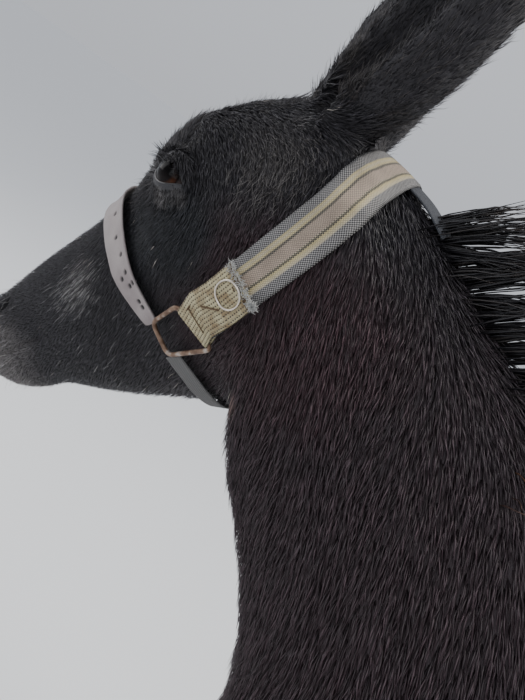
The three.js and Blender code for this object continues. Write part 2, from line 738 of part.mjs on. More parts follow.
for (const leg of LEGS) {
  const below = keepBelow(leg.flesh, leg.top);
  for (const [word, side] of SIDES) {
    const one = keepHalf(below, side);
    add(`${leg.name}_${word}_${leg.upper}`, keepAbove(one, leg.joint), COLOURS.coat, 0.9);
    add(`${leg.name}_${word}_cannon`, keepAbove(keepBelow(one, leg.joint), CORONET), COLOURS.coat, 0.9);
    const [, toe, heel, half, x] = leg.table.at(-1);
    add(`${leg.name}_${word}_hoof`, solid(makeHoof({ toe, heel, half, x }, side)), COLOURS.hoof, 0.6);
  }
}
add("tail", solid(makeTail()).subtract(fleshWithGap), COLOURS.coat, 0.95);
add("mane", solid(makeMane()).subtract(fleshWithGap), COLOURS.mane, 0.95);
for (const [name, band, color] of STRAPS) {
  add(name, solid(band), color, 0.8);
}
add("halter_wire_circle", solid(makeCircle(skinMesh)), COLOURS.wire, 0.5, 0.7);
for (const [word, side] of SIDES) {
  const wire = makeWire(ringLine(skinMesh, side), WIRE, 5, new THREE.Vector3(side, 0, 0));
  add(`halter_ring_${word}`, solid(wire), COLOURS.wire, 0.5, 0.7);
}

// The middle of the footprint is the origin, and the soles stand at height 0.
const box = new THREE.Box3().setFromObject(donkey);
const centre = box.getCenter(new THREE.Vector3());
for (const { geometry } of donkey.children) {
  geometry.translate(-centre.x, -centre.y, -box.min.z);
}

export default donkey;
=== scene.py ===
# %% [markdown]
# # A donkey in a webbing halter
# This lesson dresses a life-size donkey. The solids give its true outline, out to the tips of the
# coat. The job here is what Blender is good at: one smooth skin under the coat, the coat itself as
# thousands of small solid locks, wet eyes, horn hooves, and a worn halter with its weave and stitches.
# Lengths are in metres, +Z is up, the donkey faces -Y and its left side is at +X.

# %% Load the frame
import math
import bmesh
import bpy
import numpy as np
from mathutils import Matrix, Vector
from mathutils.bvhtree import BVHTree


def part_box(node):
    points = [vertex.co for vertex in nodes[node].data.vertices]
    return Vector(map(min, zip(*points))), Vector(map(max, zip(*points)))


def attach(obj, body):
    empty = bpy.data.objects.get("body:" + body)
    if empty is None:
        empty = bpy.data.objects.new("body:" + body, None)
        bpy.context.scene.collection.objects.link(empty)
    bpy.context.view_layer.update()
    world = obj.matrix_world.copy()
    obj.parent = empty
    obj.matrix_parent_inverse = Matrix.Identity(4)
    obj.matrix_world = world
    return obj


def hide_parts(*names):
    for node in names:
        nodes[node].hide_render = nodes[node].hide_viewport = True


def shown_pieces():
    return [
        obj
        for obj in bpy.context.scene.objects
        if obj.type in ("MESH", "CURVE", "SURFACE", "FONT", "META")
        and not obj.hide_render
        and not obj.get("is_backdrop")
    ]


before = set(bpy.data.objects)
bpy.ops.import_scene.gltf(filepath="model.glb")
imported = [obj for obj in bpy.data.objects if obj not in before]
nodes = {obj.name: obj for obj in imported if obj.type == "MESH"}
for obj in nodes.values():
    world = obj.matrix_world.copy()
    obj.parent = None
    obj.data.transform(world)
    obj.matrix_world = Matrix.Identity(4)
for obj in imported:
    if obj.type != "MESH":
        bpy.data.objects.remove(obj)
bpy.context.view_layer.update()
scene = bpy.context.scene
rng = np.random.default_rng(7)

# %% [markdown]
# ## The head's own directions
# A head is easiest to shape in its own directions: along the face from the poll to the nose, below the
# line of the face, and out to the side. The left eye's solid fixes where that frame sits, so that every
# later piece follows the solids.

# %% Head frame
HEAD_PITCH = math.radians(51.6)
ALONG = np.array([0.0, -math.cos(HEAD_PITCH), -math.sin(HEAD_PITCH)])
BELOW = np.array([0.0, math.sin(HEAD_PITCH), -math.cos(HEAD_PITCH)])
SIDE = np.array([1.0, 0.0, 0.0])
EYE_ALONG, EYE_BELOW, EYE_SIDE = 0.163, 0.026, 0.071


def middle_of(node):
    """The middle of a node's box as an array."""
    lo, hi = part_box(node)
    return (np.array(lo) + np.array(hi)) / 2


POLL = middle_of("eye_left") - EYE_ALONG * ALONG - EYE_BELOW * BELOW - EYE_SIDE * SIDE


def head_point(along, below, side=0.0):
    """The point reached from the poll by going along the face, below it, and to the left."""
    middle = POLL + np.multiply.outer(along, ALONG) + np.multiply.outer(below, BELOW)
    return middle + np.multiply.outer(side, SIDE)


def head_coords(p):
    """How far points lie along the face, below it, and to the left of the middle."""
    d = p - POLL
    return d @ ALONG, d @ BELOW, d @ SIDE


print("poll at", POLL.round(3))

# %% [markdown]
# ## Camera
# The camera stands at the donkey's left, an arm's length from its neck, looking past the cheek toward
# the nose and a little down, rolled by 36 degrees. A 27 mm lens on the 36 mm sensor gives the wide, close
# perspective that makes the near ear large and the muzzle small.

# %% Camera
CAMERA_AZIMUTH = math.radians(114.7)
CAMERA_DIP = math.radians(16.4)
CAMERA_ROLL = math.radians(36.0)
CAMERA_FROM_POLL = np.array([0.405, 0.221, -0.093])
LENS_MM = 27.0

ahead = np.array([
    -math.sin(CAMERA_AZIMUTH) * math.cos(CAMERA_DIP),
    math.cos(CAMERA_AZIMUTH) * math.cos(CAMERA_DIP),
    -math.sin(CAMERA_DIP),
])
level = np.cross(ahead, [0, 0, 1])
level /= np.linalg.norm(level)
upright = np.cross(level, ahead)
picture_right = math.cos(CAMERA_ROLL) * level + math.sin(CAMERA_ROLL) * upright
picture_up = math.cos(CAMERA_ROLL) * upright - math.sin(CAMERA_ROLL) * level
turned = np.eye(4)
turned[:3] = np.column_stack([picture_right, picture_up, -ahead, POLL + CAMERA_FROM_POLL])
camera = bpy.data.objects.new("camera", bpy.data.cameras.new("camera"))
scene.collection.objects.link(camera)
camera.matrix_world = Matrix(turned.tolist())
camera.data.lens = LENS_MM
camera.data.sensor_width = 36.0
camera.data.clip_start = 0.02
scene.camera = camera
print("camera", (POLL + CAMERA_FROM_POLL).round(3))

# %% [markdown]
# ## Floor and light
# A pale floor and a pale sky of even light show the coat without tricks. One large soft lamp above and
# behind gives the sheen on the crest and the strap, and a weaker one from the camera's side opens the
# shadows on the dark coat.

# %% Studio
def put(name, data):
    """A new object at the origin that holds the given data."""
    made = bpy.data.objects.new(name, data)
    scene.collection.objects.link(made)
    return made


def add_node(tree, kind, sockets=None, **settings):
    """A shader node with its settings made and its sockets filled by numbers or by links."""
    made = tree.nodes.new(kind)
    for key, value in settings.items():
        setattr(made, key, value)
    for key, value in (sockets or {}).items():
        if isinstance(value, bpy.types.NodeSocket):
            tree.links.new(value, made.inputs[key])
        else:
            made.inputs[key].default_value = value
    return made


def new_material(name):
    """An empty material: its node tree and its principled shader."""
    made = bpy.data.materials.new(name)
    made.use_nodes = True
    return made, made.node_tree, made.node_tree.nodes["Principled BSDF"]


SKY_COLOUR = (0.89, 0.92, 0.99, 1.0)
SKY_STRENGTH = 0.85
SKY_LOW = 0.77  # share of the sky's colour at the horizon, where it meets the floor
FLOOR_RADIUS = 60.0

world = bpy.data.worlds.new("studio")
world.use_nodes = True
sky_place = add_node(world.node_tree, "ShaderNodeTexCoord").outputs["Generated"]
sky_height = add_node(world.node_tree, "ShaderNodeSeparateXYZ", {"Vector": sky_place}).outputs["Z"]
sky_tone = add_node(world.node_tree, "ShaderNodeValToRGB", {"Fac": sky_height})
sky_tone.color_ramp.elements[0].color = tuple(SKY_LOW * v for v in SKY_COLOUR[:3]) + (1,)
sky_tone.color_ramp.elements[1].color = SKY_COLOUR
sky_tone.color_ramp.elements[1].position = 0.7
world.node_tree.links.new(sky_tone.outputs["Color"], world.node_tree.nodes["Background"].inputs["Color"])
world.node_tree.nodes["Background"].inputs["Strength"].default_value = SKY_STRENGTH
scene.world = world

floor_mesh = bpy.data.meshes.new("floor")
around = np.linspace(0, 2 * math.pi, 96, endpoint=False)
rim = np.column_stack([FLOOR_RADIUS * np.cos(around), FLOOR_RADIUS * np.sin(around), np.zeros(96)])
floor_mesh.from_pydata(rim.tolist(), [], [list(range(96))])
floor = put("floor", floor_mesh)
floor_paint, floor_tree, floor_shader = new_material("floor_paint")
floor_grain = add_node(floor_tree, "ShaderNodeTexNoise", {"Scale": 3.0, "Detail": 4.0})
floor_tone = add_node(floor_tree, "ShaderNodeValToRGB", {"Fac": floor_grain.outputs["Fac"]})
floor_tone.color_ramp.elements[0].color = (0.74, 0.75, 0.76, 1)
floor_tone.color_ramp.elements[1].color = (0.79, 0.80, 0.81, 1)
floor_tree.links.new(floor_tone.outputs["Color"], floor_shader.inputs["Base Color"])
floor_shader.inputs["Roughness"].default_value = 0.9
floor_mesh.materials.append(floor_paint)
floor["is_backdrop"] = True

for lamp_name, at, aim, size, power, colour in (
    ("key_lamp", (-0.4, 0.6, 3.4), (0.0, -0.5, 1.0), 2.2, 95.0, (1.0, 0.97, 0.92)),
    ("fill_lamp", (2.6, -0.2, 1.9), (0.0, -0.5, 1.1), 2.0, 28.0, (0.92, 0.95, 1.0)),
    ("front_lamp", (0.6, -3.0, 1.8), (0.0, -0.2, 0.9), 2.0, 30.0, (1.0, 1.0, 1.0)),
):
    lamp_data = bpy.data.lights.new(lamp_name, "AREA")
    lamp_data.size = size
    lamp_data.energy = power
    lamp_data.color = colour
    lamp = put(lamp_name, lamp_data)
    lamp.location = at
    back = np.array(at) - np.array(aim)
    back /= np.linalg.norm(back)
    sideways = np.cross([0, 0, 1], back)
    sideways /= np.linalg.norm(sideways)
    turn = Matrix(np.column_stack([sideways, np.cross(back, sideways), back]).tolist())
    lamp.rotation_euler = turn.to_euler()
print("floor and", 3, "lamps")

# %% [markdown]
# ## One skin under the coat
# An animal has no seams, but the solids meet at flat cuts. Their copies are joined and remeshed by
# voxels, which keeps only the outer surface, and the eye sockets are filled first so that the lids can be
# formed later. Where detail isn't needed, the mesh is thinned by the Decimate modifier: a vertex group
# holds the weight, 1 where edges may collapse and 0 where they stay.

# %% Joined flesh
LEG_NODES = [
    f"{end}_{hand}_{piece}"
    for end, upper in (("front", "forearm"), ("hind", "gaskin"))
    for hand in ("left", "right")
    for piece in (upper, "cannon")
]
FLESH_NODES = ["head", "neck", "trunk", "tail", "ear_left", "ear_right", *LEG_NODES]
VOXEL = 0.0042
EAR_SWELL = 0.0018  # the thin ears are swollen for the remesh and thinned again under the coat


def node_arrays(node):
    """Vertices and triangles of a solid, its doubled vertices merged."""
    bm = bmesh.new()
    bm.from_mesh(nodes[node].data)
    bmesh.ops.remove_doubles(bm, verts=bm.verts, dist=1e-6)
    bmesh.ops.triangulate(bm, faces=bm.faces)
    verts = np.array([v.co for v in bm.verts])
    faces = np.array([[v.index for v in f.verts] for f in bm.faces])
    bm.free()
    return verts, faces


def joined(parts):
    """Several (vertices, faces) as one."""
    counts = np.cumsum([0] + [len(verts) for verts, _ in parts])
    return np.vstack([verts for verts, _ in parts]), np.vstack([f + c for (_, f), c in zip(parts, counts)])


def make_mesh(name, verts, faces, smooth=True):
    """A mesh from vertices and an array, or a list of arrays, of faces of one corner count each."""
    groups = [np.asarray(g) for g in (faces if isinstance(faces, list) else [faces])]
    sizes = np.concatenate([np.full(len(g), g.shape[1]) for g in groups])
    made = bpy.data.meshes.new(name)
    made.vertices.add(len(verts))
    made.vertices.foreach_set("co", np.asarray(verts, dtype=np.float32).ravel())
    made.loops.add(int(sizes.sum()))
    made.loops.foreach_set("vertex_index", np.concatenate([g.ravel() for g in groups]).astype(np.int32))
    made.polygons.add(len(sizes))
    made.polygons.foreach_set("loop_start", (np.cumsum(sizes) - sizes).astype(np.int32))
    made.polygons.foreach_set("use_smooth", np.full(len(sizes), smooth))
    made.update(calc_edges=True)
    return made


def mesh_arrays(made):
    """Vertices and triangles of a mesh."""
    verts = np.empty(3 * len(made.vertices), dtype=np.float32)
    made.vertices.foreach_get("co", verts)
    made.calc_loop_triangles()
    faces = np.empty(3 * len(made.loop_triangles), dtype=np.int32)
    made.loop_triangles.foreach_get("vertices", faces)
    return verts.reshape(-1, 3).astype(float), faces.reshape(-1, 3)


def normals_of(verts, faces):
    """Outward unit normals at the vertices, weighted by the area of the faces round them."""
    corners = verts[faces]
    facing = np.cross(corners[:, 1] - corners[:, 0], corners[:, 2] - corners[:, 0])
    total = np.column_stack(
        [np.bincount(faces.ravel(), np.repeat(facing[:, k], 3), len(verts)) for k in range(3)]
    )
    return total / np.maximum(np.linalg.norm(total, axis=1, keepdims=True), 1e-12)


flesh_parts = {node: node_arrays(node) for node in FLESH_NODES}
for node in ("ear_left", "ear_right"):
    verts, faces = flesh_parts[node]
    flesh_parts[node] = verts + EAR_SWELL * normals_of(verts, faces), faces
flesh_verts, flesh_faces = joined([*flesh_parts.values(), node_arrays("eye_left"), node_arrays("eye_right")])
flesh_tree = BVHTree.FromPolygons(flesh_verts.tolist(), flesh_faces.tolist())
flesh = put("flesh", make_mesh("flesh", flesh_verts, flesh_faces))
remesh = flesh.modifiers.new("union", "REMESH")
remesh.mode = "VOXEL"
remesh.voxel_size = VOXEL
union = flesh.evaluated_get(bpy.context.evaluated_depsgraph_get()).to_mesh()
skin_verts, skin_faces = mesh_arrays(union)
print("remeshed flesh", len(skin_verts), "vertices")

# %% [markdown]
# ## Smoothing and thinning
# The solids are faceted, so the skin is relaxed: each vertex moves toward the middle of its neighbours.
# Relaxing also melts ridges such as the brow, so a smoothed share of what it took away is given back. The
# ears' walls are only 5 mm thick and would melt, so they move less. Positions are whole arrays; a sum over
# edges with bincount gives every vertex the middle of its neighbours at once.

# %% Relaxed skin
SKIN_KEEP = 0.31  # share of the faces left after thinning


def smooth_step(low, high, x):
    """0 below low, 1 above high, and an S-curve between."""
    t = np.clip((x - low) / (high - low), 0, 1)
    return t * t * (3 - 2 * t)


def bump(x, reach):
    """1 at 0, falling smoothly to 0 at plus or minus reach: (1 - (x / reach)^2)^2."""
    t = np.clip(1 - (x / reach) ** 2, 0, 1)
    return t * t


def edges_of(faces):
    """Each edge once, as pairs of vertex numbers."""
    pairs = np.sort(np.vstack([faces[:, [0, 1]], faces[:, [1, 2]], faces[:, [2, 0]]]), axis=1)
    return np.unique(pairs, axis=0)


def relax(verts, faces, share, rounds):
    """Moves each vertex by its share toward the middle of its neighbours, again and again."""
    edges = edges_of(faces)
    a, b = np.concatenate([edges[:, 0], edges[:, 1]]), np.concatenate([edges[:, 1], edges[:, 0]])
    count = np.maximum(np.bincount(a, minlength=len(verts)), 1)
    for _ in range(rounds):
        middle = np.column_stack([np.bincount(a, verts[b, k], len(verts)) / count for k in range(3)])
        verts = verts + share[:, None] * (middle - verts)
    return verts


# Each ear as in the solids: its root in the head frame, its lean back and outward, its facing, its side.
EAR_LENGTH = 0.265
EARS = {
    "left": {"root": (0.031, 0.023, 0.050), "back": 0.25, "outward": 0.32, "facing": 48, "hand": 1},
    "right": {"root": (0.082, 0.004, 0.037), "back": -0.03, "outward": 0.10, "facing": 22, "hand": -1},
}


def ear_frame(ear):
    """Root, axis, opening and across directions of an ear."""
    axis = np.array([ear["outward"], ear["back"], 1.0])
    axis /= np.linalg.norm(axis)
    facing = math.radians(ear["facing"])
    opening = np.array([math.sin(facing), -math.cos(facing), 0.0])
    opening -= opening.dot(axis) * axis
    opening /= np.linalg.norm(opening)
    mirror = np.array([ear["hand"], 1, 1])
    root = head_point(*ear["root"][:2], ear["root"][2])
    return root * mirror, axis * mirror, opening * mirror, np.cross(axis, opening) * mirror


def ear_share(p):
    """How much of an ear a point is: 0 on the head, 1 from some way above an ear's root."""
    most = np.zeros(len(p))
    for ear in EARS.values():
        root, axis, _, _ = ear_frame(ear)
        d = p - root
        up = d @ axis
        off = np.linalg.norm(d - np.multiply.outer(up, axis), axis=1)
        most = np.maximum(most, smooth_step(0.0, 0.03, up) * (off < 0.075) * (up < 1.1 * EAR_LENGTH))
    return most


is_ear = ear_share(skin_verts)
faceted = skin_verts
skin_verts = relax(faceted, skin_faces, 0.6 * (1 - is_ear) + 0.10 * is_ear, 28)
skin_verts = skin_verts + relax(faceted - skin_verts, skin_faces, np.full(len(is_ear), 0.5), 14)
loose = smooth_step(0.10, 0.24, skin_verts[:, 1] - POLL[1]) * (is_ear == 0)
thin = put("thinned", make_mesh("thinned", skin_verts, skin_faces))
group = thin.vertex_groups.new(name="loose")
for level in range(1, 5):
    chosen = np.flatnonzero(np.round(loose * 4) == level)
    group.add(chosen.tolist(), level / 4, "REPLACE")
decimate = thin.modifiers.new("fewer", "DECIMATE")
decimate.ratio = SKIN_KEEP
decimate.vertex_group = "loose"
lean = thin.evaluated_get(bpy.context.evaluated_depsgraph_get()).to_mesh()
skin_verts, skin_faces = mesh_arrays(lean)
for spare in (flesh, thin):
    bpy.data.objects.remove(spare)
print("thinned skin", len(skin_faces), "triangles")

# %% [markdown]
# ## Finer where the eye looks
# Lids, nostrils and lips need a finer mesh than the rest of the skin. Only the faces near them are
# divided, twice round the eyes and once round the muzzle, and then relaxed a little.

# %% Finer eyes and muzzle
EYE_RADIUS = 0.0195
EYES = {
    hand: head_point(EYE_ALONG, EYE_BELOW, side * EYE_SIDE) for hand, side in (("left", 1), ("right", -1))
}


def divide(verts, faces, chosen):
    """Divides the edges whose two ends are both chosen, and fills their faces to match."""
    bm = bmesh.new()
    made = make_mesh("refining", verts, faces)
    bm.from_mesh(made)
    bm.verts.ensure_lookup_table()
    edges = [e for e in bm.edges if chosen[e.verts[0].index] and chosen[e.verts[1].index]]
    bmesh.ops.subdivide_edges(bm, edges=edges, cuts=1, use_grid_fill=True)
    bmesh.ops.triangulate(bm, faces=bm.faces)
    bm.to_mesh(made)
    bm.free()
    finer = mesh_arrays(made)
    bpy.data.meshes.remove(made)
    return finer


def near_eyes(p, reach):
    """True for points within reach of either eye's centre."""
    return np.min([np.linalg.norm(p - at, axis=1) for at in EYES.values()], axis=0) < reach


along = head_coords(skin_verts)[0]
skin_verts, skin_faces = divide(skin_verts, skin_faces, (along > 0.40) & (along < 0.6))
for reach in (0.038, 0.031):
    skin_verts, skin_faces = divide(skin_verts, skin_faces, near_eyes(skin_verts, reach))
along = head_coords(skin_verts)[0]
fine = np.maximum(smooth_step(0.38, 0.42, along), near_eyes(skin_verts, 0.04))
skin_verts = relax(skin_verts, skin_faces, 0.5 * fine, 6)
print("finer skin", len(skin_faces), "triangles")

# %% [markdown]
# ## Under the coat
# The solids end at the tips of the coat, so the skin sinks along its normals by the coat's depth there:
# deep on the body, shallow on the face, least on the ears. Muscles and folds that the coat shows are
# grooves and swellings, each a smooth bump at a place on the body with its own reach.

# %% Depth of the coat and forms of the body
FACE_DEPTH, BODY_DEPTH, LEG_DEPTH = 0.0036, 0.0085, 0.004
EAR_DEPTH = EAR_SWELL + 0.0006


def coat_depth(p):
    """How far the coat's tips stand off the skin, in metres, at each point."""
    along = head_coords(p)[0]
    behind = smooth_step(0.02, 0.16, p[:, 1] - POLL[1] + 0.5 * (POLL[2] - 0.15 - p[:, 2]).clip(0, 0.2))
    depth = FACE_DEPTH + (BODY_DEPTH - FACE_DEPTH) * behind
    depth = depth * smooth_step(0.60, 0.35, along) + 0.0014 * smooth_step(0.35, 0.45, along) * (along < 0.6)
    low = smooth_step(0.62, 0.42, p[:, 2]) * (along > 0.6)
    depth = depth * (1 - low) + LEG_DEPTH * low
    ear = ear_share(p)
    return depth * (1 - ear) + EAR_DEPTH * ear


# Forms of the body seen from its side: y, height, reach along y and height, push out of the skin.
BODY_FORMS = [
    (-0.010, 0.86, 0.05, 0.24, -0.010),  # groove behind the shoulder
    (-0.105, 0.88, 0.09, 0.20, 0.008),  # shoulder blade
    (-0.215, 0.80, 0.06, 0.10, 0.010),  # point of the shoulder
    (-0.060, 0.70, 0.07, 0.08, 0.008),  # upper arm
    (-0.010, 0.62, 0.04, 0.05, -0.010),  # behind the elbow
    (0.420, 0.82, 0.09, 0.16, -0.012),  # flank
    (0.500, 0.98, 0.06, 0.07, 0.008),  # point of the hip
    (0.560, 0.72, 0.08, 0.12, 0.010),  # thigh
    (0.650, 0.86, 0.05, 0.16, -0.006),  # groove of the buttock
    (0.700, 0.95, 0.06, 0.07, 0.006),  # point of the buttock
]


def body_forms(p):
    """The sum of the body's forms at each point, as a push along the normal."""
    total = np.zeros(len(p))
    for y, z, reach_y, reach_z, push in BODY_FORMS:
        total += push * bump(p[:, 1] - y, reach_y) * bump(p[:, 2] - z, reach_z)
    return total * smooth_step(0.03, 0.09, np.abs(p[:, 0]))


skin_verts = skin_verts - coat_depth(skin_verts)[:, None] * normals_of(skin_verts, skin_faces)
skin_verts = skin_verts + body_forms(skin_verts)[:, None] * normals_of(skin_verts, skin_faces)
print("coat from", coat_depth(skin_verts).min().round(4), "to", coat_depth(skin_verts).max().round(4))

# %% [markdown]
# ## Face: lids, nostrils and lips
# The lids hug the eyeball. Round each eye the skin is set by its distance from the eyeball's centre:
# just over the ball at the lids' edges, behind the ball in the almond-shaped opening, with a fold above
# the upper lid. Nostrils are comma-shaped pits and the mouth is a narrow groove with fuller lips.

# %% Face
LID_LENGTH = 0.0172  # half the opening's length
LID_UP, LID_DOWN = 0.0108, 0.0088  # opening above and below the eye's middle line
LID_OVER = 0.0020  # how far the lids stand off the eyeball


def eye_frame(hand):
    """The eye's centre and its outward, forward (toward the nose) and upward directions."""
    mirror = 1 if hand == "left" else -1
    out = 0.97 * mirror * SIDE + 0.10 * ALONG - 0.14 * BELOW
    out /= np.linalg.norm(out)
    forward = 0.60 * ALONG - 0.80 * BELOW
    forward -= forward.dot(out) * out
    forward /= np.linalg.norm(forward)
    upward = np.cross(forward, out)
    upward *= np.sign(upward[2])
    return EYES[hand], out, forward, upward


def lid_edges(x):
    """Heights of the upper and the lower lid's edge at x metres forward of the eye's middle."""
    t = np.clip(np.abs(x) / LID_LENGTH, 0, 1)
    upper = LID_UP * (1 - t**2.3) - 0.0010 * x / LID_LENGTH
    lower = -LID_DOWN * (1 - t**2.0) - 0.0010 * x / LID_LENGTH
    return upper, lower


def form_lids(verts, hand):
    """The skin moved to hug the eyeball, to pass behind it in the opening, and to fold above the lid."""
    centre, out, forward, upward = eye_frame(hand)
    d = verts - centre
    r = np.linalg.norm(d, axis=1)
    x, y, z = (d @ forward, d @ upward, d @ out)
    scale = EYE_RADIUS / np.maximum(r, 1e-6)
    x, y = x * scale, y * scale
    upper, lower = lid_edges(x)
    inside = np.minimum(np.minimum(upper - y, y - lower), 3 * (LID_LENGTH - np.abs(x)))
    outside = np.clip(-inside, 0, 1)
    hug = EYE_RADIUS + LID_OVER + 0.10 * outside
    hug -= 0.0022 * bump(outside - 0.0085, 0.0028) * (y > upper)
    hug += 0.0016 * bump(outside - 0.0052, 0.0036) * (y > upper)
    hug += 0.0030 * bump(outside - 0.0150, 0.0062) * (y > upper) * (x > -0.012)
    hug -= 0.0012 * bump(outside - 0.0060, 0.0022) * (y < lower)
    hug += 0.0010 * bump(outside - 0.0095, 0.0040) * (y < lower)
    near = smooth_step(0.024, 0.006, outside)
    target = near * hug + (1 - near) * r
    target = np.where(inside > 0, hug - smooth_step(0, 0.0016, inside) * 0.0065, target)
    facing = smooth_step(-0.1, 0.15, z / np.maximum(r, 1e-6)) * smooth_step(0.052, 0.040, r)
    return centre + d * (1 + facing * (target / np.maximum(r, 1e-6) - 1))[:, None]


# Nostril and lip forms in the head frame: along, below, reach along and below, push out of the skin.
MUZZLE_FORMS = [
    (0.452, 0.047, 0.022, 0.013, 0.0045),  # wing of the nostril
    (0.436, 0.070, 0.020, 0.012, 0.0030),  # lower rim of the nostril
    (0.474, 0.082, 0.026, 0.016, 0.0040),  # upper lip
    (0.470, 0.116, 0.024, 0.012, 0.0030),  # lower lip
    (0.395, 0.101, 0.014, 0.014, -0.0030),  # corner of the mouth
]


def form_muzzle(verts, faces):
    """The skin with nostrils, lips and the line of the mouth."""
    along, below, side = head_coords(verts)
    push = np.zeros(len(verts))
    for a, b, reach_a, reach_b, out in MUZZLE_FORMS:
        push += out * bump(along - a, reach_a) * bump(below - b, reach_b)
    slit = 0.055 + 0.35 * (along - 0.448) + 6.0 * (along - 0.448) ** 2
    nostril = bump(along - 0.450, 0.022) * bump(below - slit, 0.0085)
    push -= 0.020 * nostril * (np.abs(side) > 0.012)
    mouth_line = 0.101 + 0.03 * np.sin((along - 0.40) * 25) * 0.12
    push -= 0.0042 * bump(below - mouth_line, 0.0042) * smooth_step(0.388, 0.402, along)
    push *= smooth_step(0.37, 0.39, along) * (along < 0.6)
    return verts + push[:, None] * normals_of(verts, faces)


skin_verts = form_muzzle(skin_verts, skin_faces)
for hand in EYES:
    skin_verts = form_lids(skin_verts, hand)
skin_normals = normals_of(skin_verts, skin_faces)
skin = put("skin", make_mesh("skin", skin_verts, skin_faces))
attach(skin, "root")
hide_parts(*FLESH_NODES)
print("skin", len(skin_faces), "triangles")

# %% [markdown]
# ## Colour of the coat
# Skin and coat share one set of markings, so that a gap between tufts never shows: nearly black, with
# reddish brown on the cheek behind the eye and down the throat, a frosted muzzle, a pale belly and a few
# white hairs. The colour is worked out from places on the body alone. Each marking is a soft ball: its
# share falls from 1 to 0 between two distances from its middle, roughened by noise.

# %% Markings
DARK, BROWN = (0.0170, 0.0145, 0.0170), (0.040, 0.0205, 0.0245)
# BLACK_WITH_BLUE_SHEEN is near-black hair painted bluish for the sky's sheen on it.
BLACK_WITH_BLUE_SHEEN, GREY = (0.0140, 0.0148, 0.0180), (0.17, 0.155, 0.150)
RUST, PALE, PINK = (0.16, 0.070, 0.028), (0.42, 0.38, 0.34), (0.20, 0.125, 0.105)

# Each marking: colour, middle, reach, stretch of the ball along X, Y and Z, and greatest share.
MARKINGS = [
    (BROWN, head_point(0.130, 0.155, 0.080), 0.110, (1.0, 1.0, 1.0), 0.85),
    (BROWN, head_point(0.130, 0.155, -0.080), 0.110, (1.0, 1.0, 1.0), 0.85),
    (BROWN, head_point(0.075, 0.185, 0.060), 0.090, (1.0, 1.0, 1.0), 0.80),
    (BROWN, (0.0, -0.36, 0.90), 0.30, (1.0, 1.0, 0.8), 0.60),
    (BROWN, (0.0, 0.30, 0.75), 0.55, (1.0, 0.6, 1.3), 0.45),
    (GREY, (0.0, 0.15, 0.585), 0.22, (0.9, 0.32, 1.6), 0.55),
    (GREY, (0.0, 0.57, 0.60), 0.13, (0.9, 1.0, 1.0), 0.2),
    # Below and before each eye the short hair of the hollow is painted darker and bluish: painted shade of
    # the hollow and painted sheen of the sky.
    (BLACK_WITH_BLUE_SHEEN, head_point(0.172, 0.075, 0.084), 0.058, (1.0, 1.0, 1.0), 1.0),
    (BLACK_WITH_BLUE_SHEEN, head_point(0.172, 0.075, -0.084), 0.058, (1.0, 1.0, 1.0), 1.0),
    (BLACK_WITH_BLUE_SHEEN, head_point(0.225, 0.060, 0.070), 0.055, (1.0, 1.0, 1.0), 0.9),
    (BLACK_WITH_BLUE_SHEEN, head_point(0.225, 0.060, -0.070), 0.055, (1.0, 1.0, 1.0), 0.9),
    (GREY, head_point(0.176, 0.040, 0.082), 0.0135, (1.0, 1.0, 1.0), 0.42),
    (GREY, head_point(0.176, 0.040, -0.082), 0.0135, (1.0, 1.0, 1.0), 0.42),
    (GREY, head_point(0.160, 0.048, 0.086), 0.0120, (1.0, 1.0, 1.0), 0.30),
    (GREY, head_point(0.160, 0.048, -0.086), 0.0120, (1.0, 1.0, 1.0), 0.30),
    (GREY, head_point(0.075, 0.040, 0.085), 0.038, (1.0, 1.0, 1.0), 0.14),
    (GREY, head_point(0.075, 0.040, -0.085), 0.038, (1.0, 1.0, 1.0), 0.14),
    (GREY, head_point(0.462, 0.108, 0.0), 0.072, (0.8, 1.0, 1.0), 0.75),
    (PINK, head_point(0.172, 0.212, 0.050), 0.016, (1.0, 1.0, 1.0), 0.50),
    (PINK, head_point(0.172, 0.212, -0.050), 0.016, (1.0, 1.0, 1.0), 0.50),
    (GREY, head_point(0.318, 0.062, 0.048), 0.034, (1.0, 1.0, 1.0), 0.16),
    (RUST, (0.0, -0.20, 1.145), 0.060, (1.6, 0.5, 1.3), 0.22),
]
for ear in EARS.values():  # grey-brown fur on the hollow side of each ear
    root, axis, opening, _ = ear_frame(ear)
    for up in (0.07, 0.13, 0.19):
        MARKINGS.append((GREY, root + up * axis + 0.026 * opening, 0.036, (1.0, 1.0, 0.6), 0.22))


def chain(tree, kind, *inputs, **settings):
    """The first output of a new node with its first inputs filled in order."""
    made = add_node(tree, kind, dict(enumerate(inputs)), **settings)
    return made.outputs[0]


